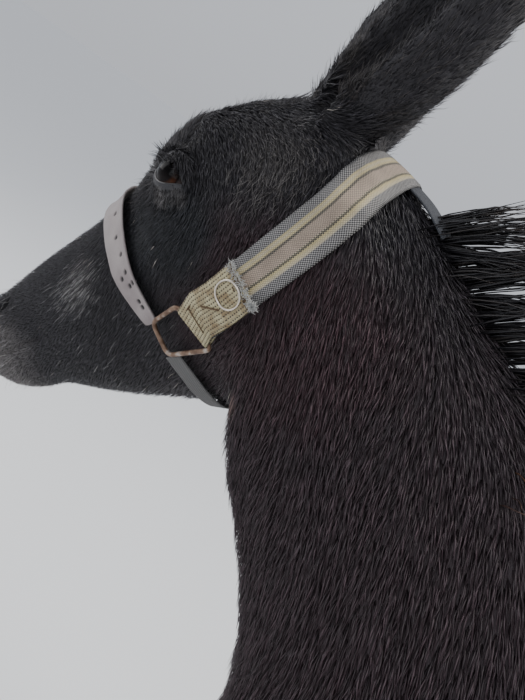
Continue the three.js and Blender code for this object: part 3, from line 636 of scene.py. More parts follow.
def coat_colour(tree):
    """The coat's colour at a place: dark brown-black, then each marking laid over by its share."""
    place = add_node(tree, "ShaderNodeTexCoord").outputs["Object"]
    rough = add_node(tree, "ShaderNodeTexNoise", {"Vector": place, "Scale": 38.0, "Detail": 3.0})
    wide = add_node(tree, "ShaderNodeTexNoise", {"Vector": place, "Scale": 7.0, "Detail": 2.0})
    colour = add_node(tree, "ShaderNodeMix", {"Factor": wide.outputs["Fac"]}, data_type="RGBA")
    colour.inputs[6].default_value = (*DARK, 1)
    # Random patches of a lighter blue-black, their bluish tint a painted sheen.
    colour.inputs[7].default_value = (*(0.5 * np.add(DARK, BLACK_WITH_BLUE_SHEEN) * 1.5), 1)
    colour = colour.outputs[2]
    for tint, middle, reach, stretch, most in MARKINGS:
        away = chain(tree, "ShaderNodeVectorMath", place, tuple(map(float, middle)), operation="SUBTRACT")
        away = chain(tree, "ShaderNodeVectorMath", away, tuple(map(float, stretch)), operation="MULTIPLY")
        far = add_node(tree, "ShaderNodeVectorMath", {0: away}, operation="LENGTH").outputs["Value"]
        far = chain(tree, "ShaderNodeMath", rough.outputs["Fac"], 0.35 * reach, far, operation="MULTIPLY_ADD")
        share = add_node(
            tree,
            "ShaderNodeMapRange",
            {"Value": far, "From Min": 1.15 * reach, "From Max": 0.55 * reach, "To Min": 0.0, "To Max": most},
            interpolation_type="SMOOTHSTEP",
        )
        mixed = add_node(tree, "ShaderNodeMix", {"Factor": share.outputs[0], 6: colour}, data_type="RGBA")
        mixed.inputs[7].default_value = (*tint, 1)
        colour = mixed.outputs[2]
    return colour


def times(tree, colour, factor):
    """A colour multiplied by a number socket."""
    mixed = add_node(tree, "ShaderNodeVectorMath", {0: colour}, operation="SCALE")
    tree.links.new(factor, mixed.inputs["Scale"])
    return mixed.outputs[0]


def attribute(tree, name):
    """A number kept at the vertices under a name."""
    return add_node(tree, "ShaderNodeAttribute", attribute_name=name).outputs["Fac"]


def ramp(tree, value, *stops):
    """A number sent through a curve of (place, result) stops."""
    made = add_node(tree, "ShaderNodeValToRGB", {"Fac": value})
    elements = made.color_ramp.elements
    while len(elements) < len(stops):
        elements.new(0.5)
    for element, (place, result) in zip(elements, stops):
        element.position = place
        element.color = (result, result, result, 1) if isinstance(result, float) else (*result, 1)
    return made.outputs["Color"]


skin_paint, skin_tree, skin_shader = new_material("skin_paint")
skin_tree.links.new(coat_colour(skin_tree), skin_shader.inputs["Base Color"])
skin_shader.inputs["Roughness"].default_value = 0.62
skin_place = add_node(skin_tree, "ShaderNodeTexCoord").outputs["Object"]
skin_pores = add_node(skin_tree, "ShaderNodeTexNoise", {"Vector": skin_place, "Scale": 900.0, "Detail": 2.0})
skin_bump = add_node(
    skin_tree, "ShaderNodeBump", {"Height": skin_pores.outputs["Fac"], "Strength": 0.5, "Distance": 0.0006}
)
skin_tree.links.new(skin_bump.outputs["Normal"], skin_shader.inputs["Normal"])
skin.data.materials.append(skin_paint)
print("markings", len(MARKINGS))

# %% [markdown]
# ## Lie of the coat
# Hair lies along the body in a slow-turning flow. The flow is a sum of directions, each strong near its
# own place: over the cheek toward the mouth, down behind the eye, from a whorl on the forehead, down the
# neck, back along the trunk, down the legs and up the ears. What matters at a place is the weighted sum,
# laid into the surface.

# %% Flow of the coat
# Head: along, below, reach, and the direction there as (along, below).
HEAD_FLOW = [
    (0.080, -0.010, 0.060, (-0.35, 0.60)),
    (0.120, 0.030, 0.050, (0.10, 1.00)),
    (0.175, -0.020, 0.045, (-0.20, -0.55)),
    (0.110, 0.085, 0.060, (0.45, 0.85)),
    (0.140, 0.135, 0.080, (0.81, 0.50)),
    (0.215, 0.060, 0.070, (0.75, 0.62)),
    (0.230, 0.130, 0.070, (0.85, 0.45)),
    (0.300, 0.060, 0.090, (0.75, 0.60)),
    (0.390, 0.060, 0.090, (0.90, 0.35)),
    (0.470, 0.080, 0.070, (0.85, 0.45)),
    (0.260, -0.010, 0.070, (1.00, 0.10)),
    (0.060, 0.180, 0.080, (0.30, 0.90)),
]


def flow(p, normals):
    """The direction in which hair lies at each point, as unit vectors in the surface."""
    along, below, _ = head_coords(p)
    total = np.zeros((len(p), 3))
    head = smooth_step(0.055, 0.0, p[:, 1] - POLL[1] - 0.03) * (along < 0.6)
    for a, b, reach, (da, db) in HEAD_FLOW:
        near = np.exp(-((along - a) ** 2 + (below - b) ** 2) / (0.6 * reach) ** 2) + 1e-6
        total += (near * head)[:, None] * (da * ALONG + db * BELOW)
    total /= np.maximum(np.linalg.norm(total, axis=1, keepdims=True), 1e-9)
    total *= head[:, None]
    neck = (1 - head) * smooth_step(-0.05, -0.22, p[:, 1]) * smooth_step(0.62, 0.72, p[:, 2])
    trunk = (1 - head) * smooth_step(-0.22, -0.05, p[:, 1])
    low = smooth_step(0.70, 0.55, p[:, 2]) * (1 - head)
    crest = smooth_step(0.05, 0.0, np.abs(p[:, 0]))
    total += neck[:, None] * np.column_stack([0.0 * crest, 0.42 + 0.2 * crest, -0.85 + 0.55 * crest])
    back = np.column_stack([0.0 * crest, np.full(len(p), 0.9), -0.42 * (1 - crest)])
    rump = smooth_step(0.48, 0.72, p[:, 1])
    back = back * (1 - rump)[:, None] + rump[:, None] * np.array([0, 0.35, -0.9])
    total += (trunk * (1 - low))[:, None] * back
    legs = low * smooth_step(0.03, 0.06, np.abs(p[:, 0]))
    total += np.multiply.outer(legs, [0, 0.12, -1.0])
    total += np.multiply.outer(low - legs, [0, 1.0, 0.1])
    for ear in EARS.values():
        root, axis, _, _ = ear_frame(ear)
        d = p - root
        up = d @ axis
        off = np.linalg.norm(d - np.multiply.outer(up, axis), axis=1)
        share = smooth_step(-0.01, 0.03, up) * (off < 0.075) * (up < 1.1 * EAR_LENGTH)
        total = total * (1 - share)[:, None] + share[:, None] * axis
    total -= np.einsum("ij,ij->i", total, normals)[:, None] * normals
    return total / np.maximum(np.linalg.norm(total, axis=1, keepdims=True), 1e-9)


print("flow near the cheek", flow(head_point([0.14], [0.13], [0.09]), np.array([[1.0, 0, 0]])).round(2))

# %% [markdown]
# ## Growing tufts
# A tuft is a closed blade with a three-cornered section: two edges and a ridge, tapering to a point. It
# starts just under the skin, rises, and lies over along the flow, bending with the surface. All tufts of a
# region are one array computation: the spine at a share s of the length L is
# root + d L s + n (rise of s) - n (curvature) (L s)^2 / 2, and the rings of corners are set round the spine.
# Each tuft gets a tiny patch on the map OFBake at its root's place on the region's own unwrap, so that a
# baked colour of each tuft is read from one place.

# %% Tufts
SINK = 0.0007
UV_PATCH = 0.003
RIDGE = 0.38  # height of the ridge as a share of the width

skin_corners = skin_verts[skin_faces]
skin_middles = skin_corners.mean(axis=1)
skin_crosses = np.cross(skin_corners[:, 1] - skin_corners[:, 0], skin_corners[:, 2] - skin_corners[:, 0])
skin_areas = np.linalg.norm(skin_crosses, axis=1) / 2


def scatter(weight, count):
    """Points on the skin, as many per area as the weight of its faces asks, evenly spread along the list."""
    share = np.cumsum(skin_areas * weight)
    places = (np.arange(count) + rng.random(count)) / count * share[-1]
    face = np.searchsorted(share, places)
    u, v = rng.random(count), rng.random(count)
    u, v = np.where(u + v > 1, 1 - u, u), np.where(u + v > 1, 1 - v, v)
    shares = np.column_stack([1 - u - v, u, v])[:, :, None]
    roots = (skin_corners[face] * shares).sum(axis=1)
    normals = (skin_normals[skin_faces[face]] * shares).sum(axis=1)
    return roots, normals / np.linalg.norm(normals, axis=1, keepdims=True), face


def curvature(face, d):
    """How fast the skin turns away along d: the change of its normal across the face, per metre."""
    corners, turns = skin_corners[face], skin_normals[skin_faces[face]]
    e1, e2 = corners[:, 1] - corners[:, 0], corners[:, 2] - corners[:, 0]
    n1, n2 = turns[:, 1] - turns[:, 0], turns[:, 2] - turns[:, 0]
    a, b, c = (np.einsum("ij,ij->i", *pair) for pair in ((e1, e1), (e1, e2), (e2, e2)))
    x, y = np.einsum("ij,ij->i", d, e1), np.einsum("ij,ij->i", d, e2)
    det = np.maximum(a * c - b * b, 1e-20)
    u, v = (c * x - b * y) / det, (a * y - b * x) / det
    return np.clip(np.einsum("ij,ij->i", d, u[:, None] * n1 + v[:, None] * n2), -14, 14)


def with_numbers(piece, numbers):
    """Keeps named numbers at a piece's vertices."""
    for key, values in numbers.items():
        piece.data.attributes.new(key, "FLOAT", "POINT").data.foreach_set("value", values.astype(np.float32))
    return piece


def hair_faces(count, segments):
    """Triangles and quads of hairs with three corners in each ring and one tip, for all hairs at once."""
    tip, last, sides = 3 * segments, 3 * (segments - 1), ((0, 1), (1, 2), (2, 0))
    tris = [[0, 1, 2]] + [[last + b, last + a, tip] for a, b in sides]
    quads = [[j + b, j + a, j + 3 + a, j + 3 + b] for j in range(0, last, 3) for a, b in sides]
    start = (np.arange(count) * (tip + 1))[:, None, None]
    groups = [(start + np.array(tris)).reshape(-1, 3)]
    if quads:
        groups.append((start + np.array(quads)).reshape(-1, 4))
    return groups


def hair_piece(name, verts, groups, uv, tone, reach):
    """A piece from the corners of each hair, with its map OFBake and the numbers tone and reach."""
    made = make_mesh(name, verts.reshape(-1, 3), groups)
    corners = np.concatenate([g.ravel() for g in groups])
    layer = made.uv_layers.new(name="OFBake")
    layer.data.foreach_set("uv", uv.reshape(-1, 2)[corners].astype(np.float32).ravel())
    numbers = {"tone": np.repeat(tone, verts.shape[1]), "reach": np.tile(reach, len(verts))}
    return with_numbers(put(name, made), numbers)


def add_tufts(name, roots, normals, d, length, width, lift, bend, tone, spots, segments=2, sway=0.0):
    """A mesh of closed tapered tufts, with the attributes tone and reach and the map OFBake."""
    count = len(roots)
    side = np.cross(d, normals)
    shares = np.arange(segments) / segments
    phase = rng.random(count) * 6.28
    rings = []
    for s in [*shares, 1.0]:
        rise = lift * (1 - (1 - s) ** 2) - SINK * (1 - s)
        wave = sway * length * math.sin(2.6 * s) * np.sin(phase + 2.2 * s)
        spine = roots + d * (length * s)[:, None] + side * wave[:, None]
        spine = spine + normals * (rise - bend * (length * s) ** 2 / 2)[:, None]
        if s == 1.0:
            rings.append(spine[:, None])
            break
        half = 0.5 * width * (0.75 + 0.45 * s if s < 0.6 else 0.8 - 0.5 * (s - 0.5))
        flank, ridge = side * half[:, None], normals * (2 * RIDGE * half)[:, None]
        rings.append(np.stack([spine - flank, spine + flank, spine + ridge], axis=1))
    verts = np.concatenate(rings, axis=1)
    per = verts.shape[1]
    tip = per - 1
    groups = hair_faces(count, segments)
    if np.einsum("j,j", np.cross(verts[0, 1] - verts[0, 0], verts[0, 2] - verts[0, 0]), d[0]) > 0:
        groups = [g[:, ::-1] for g in groups]
    across = np.tile([-0.5, 0.5, 0.0], segments + 1)[:per] * UV_PATCH
    across[tip] = 0.0
    up = np.repeat(np.append(shares, 1.0), 3)[:per] * UV_PATCH
    up += np.where(np.arange(per) % 3 == 2, 0.2 * UV_PATCH, 0.0) * (np.arange(per) != tip)
    uv = spots[:, None, :] * (1 - 2 * UV_PATCH) + UV_PATCH / 2 + np.stack([across, up], axis=1)
    tuft = hair_piece(name, verts, groups, uv, tone, np.append(np.repeat(shares, 3), 1.0))
    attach(tuft, "root")
    return tuft


def spread(values):
    """Values moved and scaled to run from 0 to 1."""
    return (values - values.min()) / max(np.ptp(values), 1e-9)


def scattered_way(p, d, normals, stray, clump):
    """The flow turned a little at each point: slowly over the body, and at random from tuft to tuft."""
    side = np.cross(d, normals)
    slow = np.sin(p @ [61.0, 37.0, 53.0]) + np.sin(p @ [-43.0, 71.0, 29.0] + 2.0)
    turn = clump * slow + stray * rng.standard_normal(len(p))
    turned = d + side * turn[:, None]
    return turned / np.linalg.norm(turned, axis=1, keepdims=True)


tuft_paint, tuft_tree, tuft_shader = new_material("tuft_paint")
tuft_tone = attribute(tuft_tree, "tone")
tuft_reach = attribute(tuft_tree, "reach")
# Each tuft's lightness: its own random tone, times a ramp along it, darker toward the root as painted shade
# inside the coat and lighter toward the tip.
tuft_light = chain(
    tuft_tree,
    "ShaderNodeMath",
    ramp(tuft_tree, tuft_tone, (0.0, 0.60), (0.5, 1.0), (0.9, 1.6), (1.0, 2.1)),
    ramp(tuft_tree, tuft_reach, (0.0, 0.50), (0.5, 0.95), (1.0, 1.45)),
    operation="MULTIPLY",
)
tuft_colour = times(tuft_tree, coat_colour(tuft_tree), tuft_light)
white_hair = chain(tuft_tree, "ShaderNodeMath", tuft_tone, 1.0, operation="GREATER_THAN")
tuft_mix = add_node(tuft_tree, "ShaderNodeMix", {"Factor": white_hair, 6: tuft_colour}, data_type="RGBA")
tuft_mix.inputs[7].default_value = (*PALE, 1)
tuft_tree.links.new(tuft_mix.outputs[2], tuft_shader.inputs["Base Color"])
tuft_shader.inputs["Roughness"].default_value = 0.50
tuft_shader.inputs["Specular IOR Level"].default_value = 0.46

# %% [markdown]
# ## The coat, region by region
# Each region has its own number of tufts, their length and width, and an unwrap of its own shape for the
# map: how far along the region, and the angle round it. The side of the head that is studied from close
# by has the finest tufts.

# %% Coat
skin_along, skin_below, _ = head_coords(skin_middles)
skin_ear = ear_share(skin_middles) > 0.5
skin_head = (skin_middles[:, 1] - POLL[1] < 0.045) & (skin_along < 0.6) & (skin_middles[:, 2] > 0.7)
skin_head &= ~skin_ear
skin_cheek, skin_front = skin_head & (skin_along < 0.195), skin_head & (skin_along >= 0.195)
skin_leg = (skin_middles[:, 2] < 0.60) & ~skin_head & (np.abs(skin_middles[:, 0]) > 0.035)
skin_neck = (skin_middles[:, 1] < -0.17) & (skin_middles[:, 2] > 0.72) & ~skin_head & ~skin_ear
skin_tail = (skin_middles[:, 1] > 0.745) & (skin_middles[:, 2] < 0.95)
skin_trunk = ~(skin_head | skin_leg | skin_neck | skin_ear | skin_tail)
on_left = skin_middles[:, 0] > 0


def eye_clear(p):
    """0 on the eyelids' edges and in the opening, 1 away from the eyes."""
    clear = np.ones(len(p))
    for hand in EYES:
        centre, out, forward, upward = eye_frame(hand)
        d = p - centre
        x, y = d @ forward, d @ upward
        upper, lower = lid_edges(x)
        inside = np.minimum(np.minimum(upper - y, y - lower), LID_LENGTH - np.abs(x))
        near = (np.linalg.norm(d, axis=1) < 0.04) & (d @ out > 0)
        clear = np.where(near, smooth_step(-0.0015, -0.006, inside), clear)
    return clear


def face_length(p):
    """Length of the hair on the head: short on the nose, longer on the cheek, temple and forehead."""
    along, below, _ = head_coords(p)
    long = 0.0045 + 0.0105 * smooth_step(0.44, 0.18, along)
    long += 0.006 * smooth_step(0.03, -0.02, below) * smooth_step(0.18, 0.12, along)
    long -= 0.005 * bump(along - 0.215, 0.07) * bump(below - 0.055, 0.06)
    return long * (0.35 + 0.65 * eye_clear(p))


def unwrap_head(p):
    """Along the face, and the angle round the middle of the head."""
    along, below, side = head_coords(p)
    return along, np.arctan2(np.abs(side), below - 0.085)


def unwrap_neck(p):
    """Back and down the neck, and the angle round its sloping middle."""
    return p[:, 1] - 0.6 * p[:, 2], np.arctan2(np.abs(p[:, 0]), p[:, 2] - 1.0 + 0.7 * (p[:, 1] + 0.35))


def unwrap_trunk(p):
    """Back along the trunk, and the angle round its middle."""
    return p[:, 1], np.arctan2(np.abs(p[:, 0]), p[:, 2] - 0.85)


def unwrap_legs(p):
    """Up the leg, and the angle round it, left legs beside right ones."""
    middle_y = np.where(p[:, 1] < 0.2, -0.21, 0.66)
    turn = np.arctan2(p[:, 1] - middle_y, (np.abs(p[:, 0]) - 0.10)) / 6.4
    return p[:, 2], turn + np.sign(p[:, 0]) * 0.52


def unwrap_ears(p):
    """Up the ear, and the angle round it, one ear beside the other."""
    up, turn = np.zeros(len(p)), np.zeros(len(p))
    for number, ear in enumerate(EARS.values()):
        root, axis, opening, across = ear_frame(ear)
        d = p - root
        mine = (p[:, 0] > root[0] - 0.05) == (ear["hand"] > 0)
        up = np.where(mine, d @ axis, up)
        turn = np.where(mine, np.arctan2(d @ across, -(d @ opening)) / 6.4 + 1.05 * number, turn)
    return up, turn


# name, faces, tufts, segments, (length, width) with length None on the face, stray, clump, unwrap
REGIONS = [
    ("coat_cheek_left", skin_cheek & on_left, 19800, 2, None, 0.13, 0.07, unwrap_head),
    ("coat_face_left", skin_front & on_left, 19000, 2, None, 0.10, 0.05, unwrap_head),
    ("coat_cheek_right", skin_cheek & ~on_left, 10000, 2, None, 0.16, 0.07, unwrap_head),
    ("coat_face_right", skin_front & ~on_left, 9500, 2, None, 0.12, 0.05, unwrap_head),
    ("coat_neck_left", skin_neck & on_left, 19900, 2, (0.023, 0.00115), 0.10, 0.07, unwrap_neck),
    ("coat_neck_right", skin_neck & ~on_left, 10000, 2, (0.026, 0.0021), 0.13, 0.06, unwrap_neck),
    ("coat_trunk_left", skin_trunk & on_left, 28000, 1, (0.030, 0.0029), 0.07, 0.04, unwrap_trunk),
    ("coat_trunk_right", skin_trunk & ~on_left, 28000, 1, (0.030, 0.0029), 0.07, 0.04, unwrap_trunk),
    ("coat_legs", skin_leg, 23500, 1, (0.014, 0.0022), 0.12, 0.05, unwrap_legs),
    ("coat_ears", skin_ear, 21000, 1, (0.010, 0.0011), 0.20, 0.08, unwrap_ears),
]
for name, faces, count, segments, size, stray, clump, unwrap in REGIONS:
    weight = faces * (0.02 + 0.98 * eye_clear(skin_middles)) if size is None else faces * 1.0
    if size is None:
        weight = weight * (1 + 0.8 * smooth_step(0.26, 0.44, skin_along))
    roots, normals, face = scatter(weight, count)
    d = scattered_way(roots, flow(roots, normals), normals, stray, clump)
    vary = rng.uniform(0.65, 1.25, count)
    if size is None:
        length = face_length(roots) * vary
        width = (0.00062 + 0.00026 * smooth_step(0.006, 0.016, length)) * rng.uniform(0.75, 1.25, count)
    else:
        length, width = size[0] * vary, size[1] * rng.uniform(0.75, 1.25, count)
    lift = coat_depth(roots) * rng.uniform(0.35, 1.0, count)
    if name == "coat_ears":
        lift = 0.0016 + 0.0022 * rng.random(count)
    tone = 0.98 * rng.random(count) ** 1.15
    if "face" in name or "cheek" in name:
        tone = np.where(rng.random(count) < 0.0012, 1.02, tone)
    spots = np.column_stack([spread(v) for v in unwrap(roots)])
    tuft = add_tufts(
        name, roots, normals, d, length, width, lift, curvature(face, d), tone, spots, segments, 0.05
    )
    tuft.data.materials.append(tuft_paint)
    print(name, count, "tufts,", count * (6 * segments - 2), "triangles")

# %% [markdown]
# ## Eyes
# A wet eye is dark, round and glossy. The ball is a sphere turned to look out of the lids, with a clearer
# bulge of cornea over the iris, and its colour goes by the angle from its axis: a wide level pupil, a dark
# brown iris, and a thin ring of white that the lids mostly hide. The lids' wet edges are thin rims that
# follow the almond, and short lashes lean out of the upper one.

# %% Eyeballs, lid rims and lashes
IRIS_ANGLE = 0.78  # angle from the axis at the iris's edge


def grid_faces(rows, columns, closed_columns=True):
    """Quads of a grid of points, joined round along the columns if asked."""
    i, j = np.meshgrid(np.arange(rows - 1), np.arange(columns - (not closed_columns)), indexing="ij")
    k = (j + 1) % columns
    here, ahead = i * columns, (i + 1) * columns
    return np.stack([here + j, here + k, ahead + k, ahead + j], -1).reshape(-1, 4)


def outward(verts, faces):
    """Faces turned so that the closed surface faces outward, told by the sign of its volume."""
    a, b, c = (verts[faces[:, k]] for k in range(3))
    volume = np.einsum("ij,ij->", a - verts.mean(axis=0), np.cross(b - a, c - a))
    if faces.shape[1] == 4:
        e = verts[faces[:, 3]]
        volume += np.einsum("ij,ij->", a - verts.mean(axis=0), np.cross(c - a, e - a))
    return faces if volume > 0 else faces[:, ::-1]


def add_piece(name, verts, faces, paint, replaced=(), ride="root"):
    """A named piece of the donkey from arrays, its material and the solids it stands for."""
    made = put(name, make_mesh(name, verts, faces))
    made.data.materials.append(paint)
    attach(made, ride)
    if replaced:
        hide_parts(*replaced)
    return made


def tube(points, radius, sides=12, closed=False):
    """A round tube along points: a ring of corners at each, and a closing point at each open end."""
    n = len(points)
    ahead = np.roll(points, -1, 0) - np.roll(points, 1, 0)
    if not closed:
        ahead[0], ahead[-1] = points[1] - points[0], points[-1] - points[-2]
    ahead /= np.linalg.norm(ahead, axis=1, keepdims=True)
    across = np.cross(ahead, ahead[0] + np.array([0.31, 0.52, 0.79]))
    for i in range(1, n):
        across[i] = across[i - 1] - across[i - 1].dot(ahead[i]) * ahead[i]
        across[i] /= np.linalg.norm(across[i])
    across[0] = across[1] - across[1].dot(ahead[0]) * ahead[0]
    across /= np.linalg.norm(across, axis=1, keepdims=True)
    up = np.cross(ahead, across)
    turn = np.linspace(0, 2 * np.pi, sides, endpoint=False)
    radius = np.broadcast_to(radius, n)[:, None, None]
    ring = np.cos(turn)[None, :, None] * across[:, None] + np.sin(turn)[None, :, None] * up[:, None]
    verts = (points[:, None] + radius * ring).reshape(-1, 3)
    faces = grid_faces(n, sides)
    if closed:
        j = np.arange(sides)
        k = (j + 1) % sides
        shift = np.argmin(np.linalg.norm(verts[:sides] - verts[(n - 1) * sides], axis=1))
        far, far_next = (j + shift) % sides, (k + shift) % sides
        seam = np.stack([(n - 1) * sides + j, (n - 1) * sides + k, far_next, far], -1)
        return verts, [outward(verts, np.vstack([faces, seam]))]
    hubs = len(verts) + np.arange(2)
    bulge = 0.4 * radius[:, 0] * ahead
    verts = np.vstack([verts, points[0] - bulge[0], points[-1] + bulge[-1]])
    j = np.arange(sides)
    k = (j + 1) % sides
    first = np.stack([k, j, np.full(sides, hubs[0])], -1)
    last = np.stack([(n - 1) * sides + j, (n - 1) * sides + k, np.full(sides, hubs[1])], -1)
    turned = outward(verts, faces)
    if turned is not faces:
        first, last = first[:, ::-1], last[:, ::-1]
    return verts, [turned, np.vstack([first, last])]


def eyeball(hand):
    """A sphere of rings about the eye's axis, the cornea bulging over the iris by 1.2 mm."""
    centre, out, forward, upward = eye_frame(hand)
    rings, sides = 40, 48
    angle = np.linspace(0.0, np.pi, rings)[1:-1]
    turn = np.linspace(0, 2 * np.pi, sides, endpoint=False)
    radius = EYE_RADIUS + 0.0012 * bump(angle, 1.0)
    flat = np.cos(turn)[:, None] * forward + np.sin(turn)[:, None] * upward
    verts = centre + (radius * np.cos(angle))[:, None, None] * out
    verts = verts + (radius * np.sin(angle))[:, None, None] * flat
    verts = np.vstack([verts.reshape(-1, 3), centre + (EYE_RADIUS + 0.0012) * out, centre - EYE_RADIUS * out])
    faces = grid_faces(rings - 2, sides)
    j = np.arange(sides)
    k = (j + 1) % sides
    front = np.stack([k, j, np.full(sides, len(verts) - 2)], -1)
    back = np.stack([(rings - 3) * sides + j, (rings - 3) * sides + k, np.full(sides, len(verts) - 1)], -1)
    caps = np.vstack([front, back])
    turned = outward(verts, faces)
    if turned is not faces:
        caps = caps[:, ::-1]
    d = (verts - centre) / np.linalg.norm(verts - centre, axis=1, keepdims=True)
    return verts, [turned, caps], np.arccos(np.clip(d @ out, -1, 1)), d @ forward, d @ upward


eye_paint, eye_tree, eye_shader = new_material("wet_eye")
iris = ramp(
    eye_tree,
    attribute(eye_tree, "off_axis"),
    (0.0, (0.004, 0.003, 0.003)),
    (0.13, (0.004, 0.003, 0.003)),
    (0.17, (0.026, 0.010, 0.005)),
    (0.22, (0.018, 0.007, 0.004)),
    (0.25, (0.006, 0.004, 0.004)),
    (0.29, (0.060, 0.045, 0.042)),
    (0.40, (0.030, 0.020, 0.018)),
)
# Brighter low in the ball and darker at its top: a painted glow of light in the lower iris and painted shade
# under the upper lid.
eye_painted_glow = ramp(eye_tree, attribute(eye_tree, "height"), (0.0, 2.2), (0.42, 1.6), (0.60, 0.35), (1.0, 0.2))
eye_tree.links.new(times(eye_tree, iris, eye_painted_glow), eye_shader.inputs["Base Color"])
eye_shader.inputs["Roughness"].default_value = 0.10
eye_shader.inputs["Specular IOR Level"].default_value = 0.07
rim_paint, rim_tree, rim_shader = new_material("wet_lid_rim")
# The lower rim is painted pale grey as the wet highlight along the lower lid's edge; the upper rim is near
# black.
rim_tone_and_highlight = ramp(
    rim_tree, attribute(rim_tree, "height"), (0.05, (0.085, 0.080, 0.080)), (0.17, (0.010, 0.009, 0.010))
)
rim_tree.links.new(rim_tone_and_highlight, rim_shader.inputs["Base Color"])
rim_shader.inputs["Roughness"].default_value = 0.35

for hand in EYES:
    verts, faces, off_axis, x, y = eyeball(hand)
    ball = add_piece(f"eyeball_{hand}", verts, faces, eye_paint, [f"eye_{hand}"])
    level = np.hypot(0.62 * x, y) / np.maximum(np.hypot(x, y), 1e-6)
    pupil = np.where(off_axis < IRIS_ANGLE, off_axis * (0.55 + 0.45 * level), off_axis) / np.pi
    with_numbers(ball, {"off_axis": pupil, "height": (0.5 + 0.5 * y / 0.6).clip(0, 1)})

    centre, out, forward, upward = eye_frame(hand)
    turn = np.linspace(0, 2 * np.pi, 96, endpoint=False)
    rim_x = 0.985 * LID_LENGTH * np.cos(turn)
    upper, lower = lid_edges(rim_x)
    rim_y = np.where(np.sin(turn) > 0, upper, lower)
    rim_z = np.sqrt(np.maximum(EYE_RADIUS**2 - rim_x**2 - rim_y**2, 1e-8))
    points = centre + (1 + 0.0010 / EYE_RADIUS) * (
        rim_x[:, None] * forward + rim_y[:, None] * upward + rim_z[:, None] * out
    )
    verts, faces = tube(points, 0.0007, 8, closed=True)
    rim_piece = add_piece(f"lid_rim_{hand}", verts, faces, rim_paint)
    with_numbers(rim_piece, {"height": (0.5 + 0.5 * ((verts - centre) @ upward) / 0.010).clip(0, 1)})

    lash_count = 90
    lash_x = LID_LENGTH * rng.uniform(-0.85, 0.9, lash_count)
    upper, lower = lid_edges(lash_x)
    lash_z = np.sqrt(np.maximum(EYE_RADIUS**2 - lash_x**2 - upper**2, 1e-8))
    lash_roots = centre + 1.08 * (lash_x[:, None] * forward + upper[:, None] * upward + lash_z[:, None] * out)
    lash_n = np.tile(upward, (lash_count, 1))
    lash_d = out + 0.25 * upward + np.multiply.outer(20 * lash_x, forward)
    lash_d = lash_d + rng.normal(0, 0.12, (lash_count, 3))
    lash_d -= np.einsum("ij,ij->i", lash_d, lash_n)[:, None] * lash_n
    lash_d /= np.linalg.norm(lash_d, axis=1, keepdims=True)
    lashes = add_tufts(
        f"lashes_{hand}", lash_roots, lash_n, lash_d, rng.uniform(0.008, 0.014, lash_count),
        np.full(lash_count, 0.0005), np.full(lash_count, 0.002), np.full(lash_count, 45.0),
        rng.random(lash_count) * 0.4, np.column_stack([spread(lash_x), rng.random(lash_count)]), 3, 0.1,
    )
    lashes.data.materials.append(tuft_paint)
print("eyes", [np.round(at, 3).tolist() for at in EYES.values()])

# %% [markdown]
# ## Hooves
# Horn grows down in rings from the coronet. Each hoof is a loft of rings that flare to the flat sole, with
# slight ridges where growth was faster, as wide and as long as its solid.

# %% Hooves
HOOF_HEIGHTS = np.concatenate([[0.0], np.linspace(0.002, 0.0497, 30)])


def hoof(node):
    """Rings from the sole to the coronet: the solid's box at the sole, narrower and shorter above."""
    lo, hi = (np.array(v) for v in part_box(node))
    middle, half = (lo + hi) / 2, (hi - lo) / 2
    turn = np.linspace(0, 2 * np.pi, 56, endpoint=False)
    rise = np.clip(HOOF_HEIGHTS / 0.0497, 0, 1)[:, None]
    ridges = 0.0005 * np.sin(rise * 42) * (rise > 0.05) * (rise < 0.97)
    power = 0.86
    across = np.sign(np.cos(turn)) * np.abs(np.cos(turn)) ** power
    ahead = np.sign(np.sin(turn)) * np.abs(np.sin(turn)) ** 0.82
    wide = (half[0] - 0.0010) - 0.0065 * rise + ridges
    front, behind = -lo[1] - 0.0235 * rise + ridges, -hi[1] + 0.0055 * rise - ridges
    y = -((front + behind) / 2 + (front - behind) / 2 * ahead[None])
    x = middle[0] + wide * across[None]
    heel = smooth_step(0.45, 1.0, -ahead)[None] * smooth_step(0.25, 0.0, np.abs(across))[None]
    y = y - 0.007 * heel * (1 - 0.4 * rise)
    verts = np.stack([x, y, np.broadcast_to(HOOF_HEIGHTS[:, None], x.shape)], -1).reshape(-1, 3)
    faces = grid_faces(len(HOOF_HEIGHTS), 56)
    hubs = np.array([[middle[0], verts[:56, 1].mean(), 0.0], [middle[0], verts[-56:, 1].mean(), 0.0500]])
    verts = np.vstack([verts, hubs])
    j = np.arange(56)
    k = (j + 1) % 56
    base = len(verts) - 58
    sole = np.stack([k, j, np.full(56, len(verts) - 2)], -1)
    top = np.stack([base + j, base + k, np.full(56, len(verts) - 1)], -1)
    turned = outward(verts, faces)
    caps = np.vstack([sole, top])
    return verts, [turned, caps if turned is faces else caps[:, ::-1]]


hoof_paint, hoof_tree, hoof_shader = new_material("hoof_horn")
hoof_place = add_node(hoof_tree, "ShaderNodeTexCoord").outputs["Object"]
hoof_stretch = chain(hoof_tree, "ShaderNodeVectorMath", hoof_place, (60.0, 60.0, 420.0), operation="MULTIPLY")
hoof_noise = add_node(hoof_tree, "ShaderNodeTexNoise", {"Vector": hoof_stretch, "Scale": 1.0, "Detail": 4.0})
hoof_tone = ramp(
    hoof_tree, hoof_noise.outputs["Fac"], (0.3, (0.035, 0.030, 0.027)), (0.7, (0.105, 0.088, 0.072))
)
hoof_tree.links.new(hoof_tone, hoof_shader.inputs["Base Color"])
hoof_shader.inputs["Roughness"].default_value = 0.58
hoof_bump = add_node(
    hoof_tree, "ShaderNodeBump", {"Height": hoof_noise.outputs["Fac"], "Strength": 0.4, "Distance": 0.0008}
)
hoof_tree.links.new(hoof_bump.outputs["Normal"], hoof_shader.inputs["Normal"])
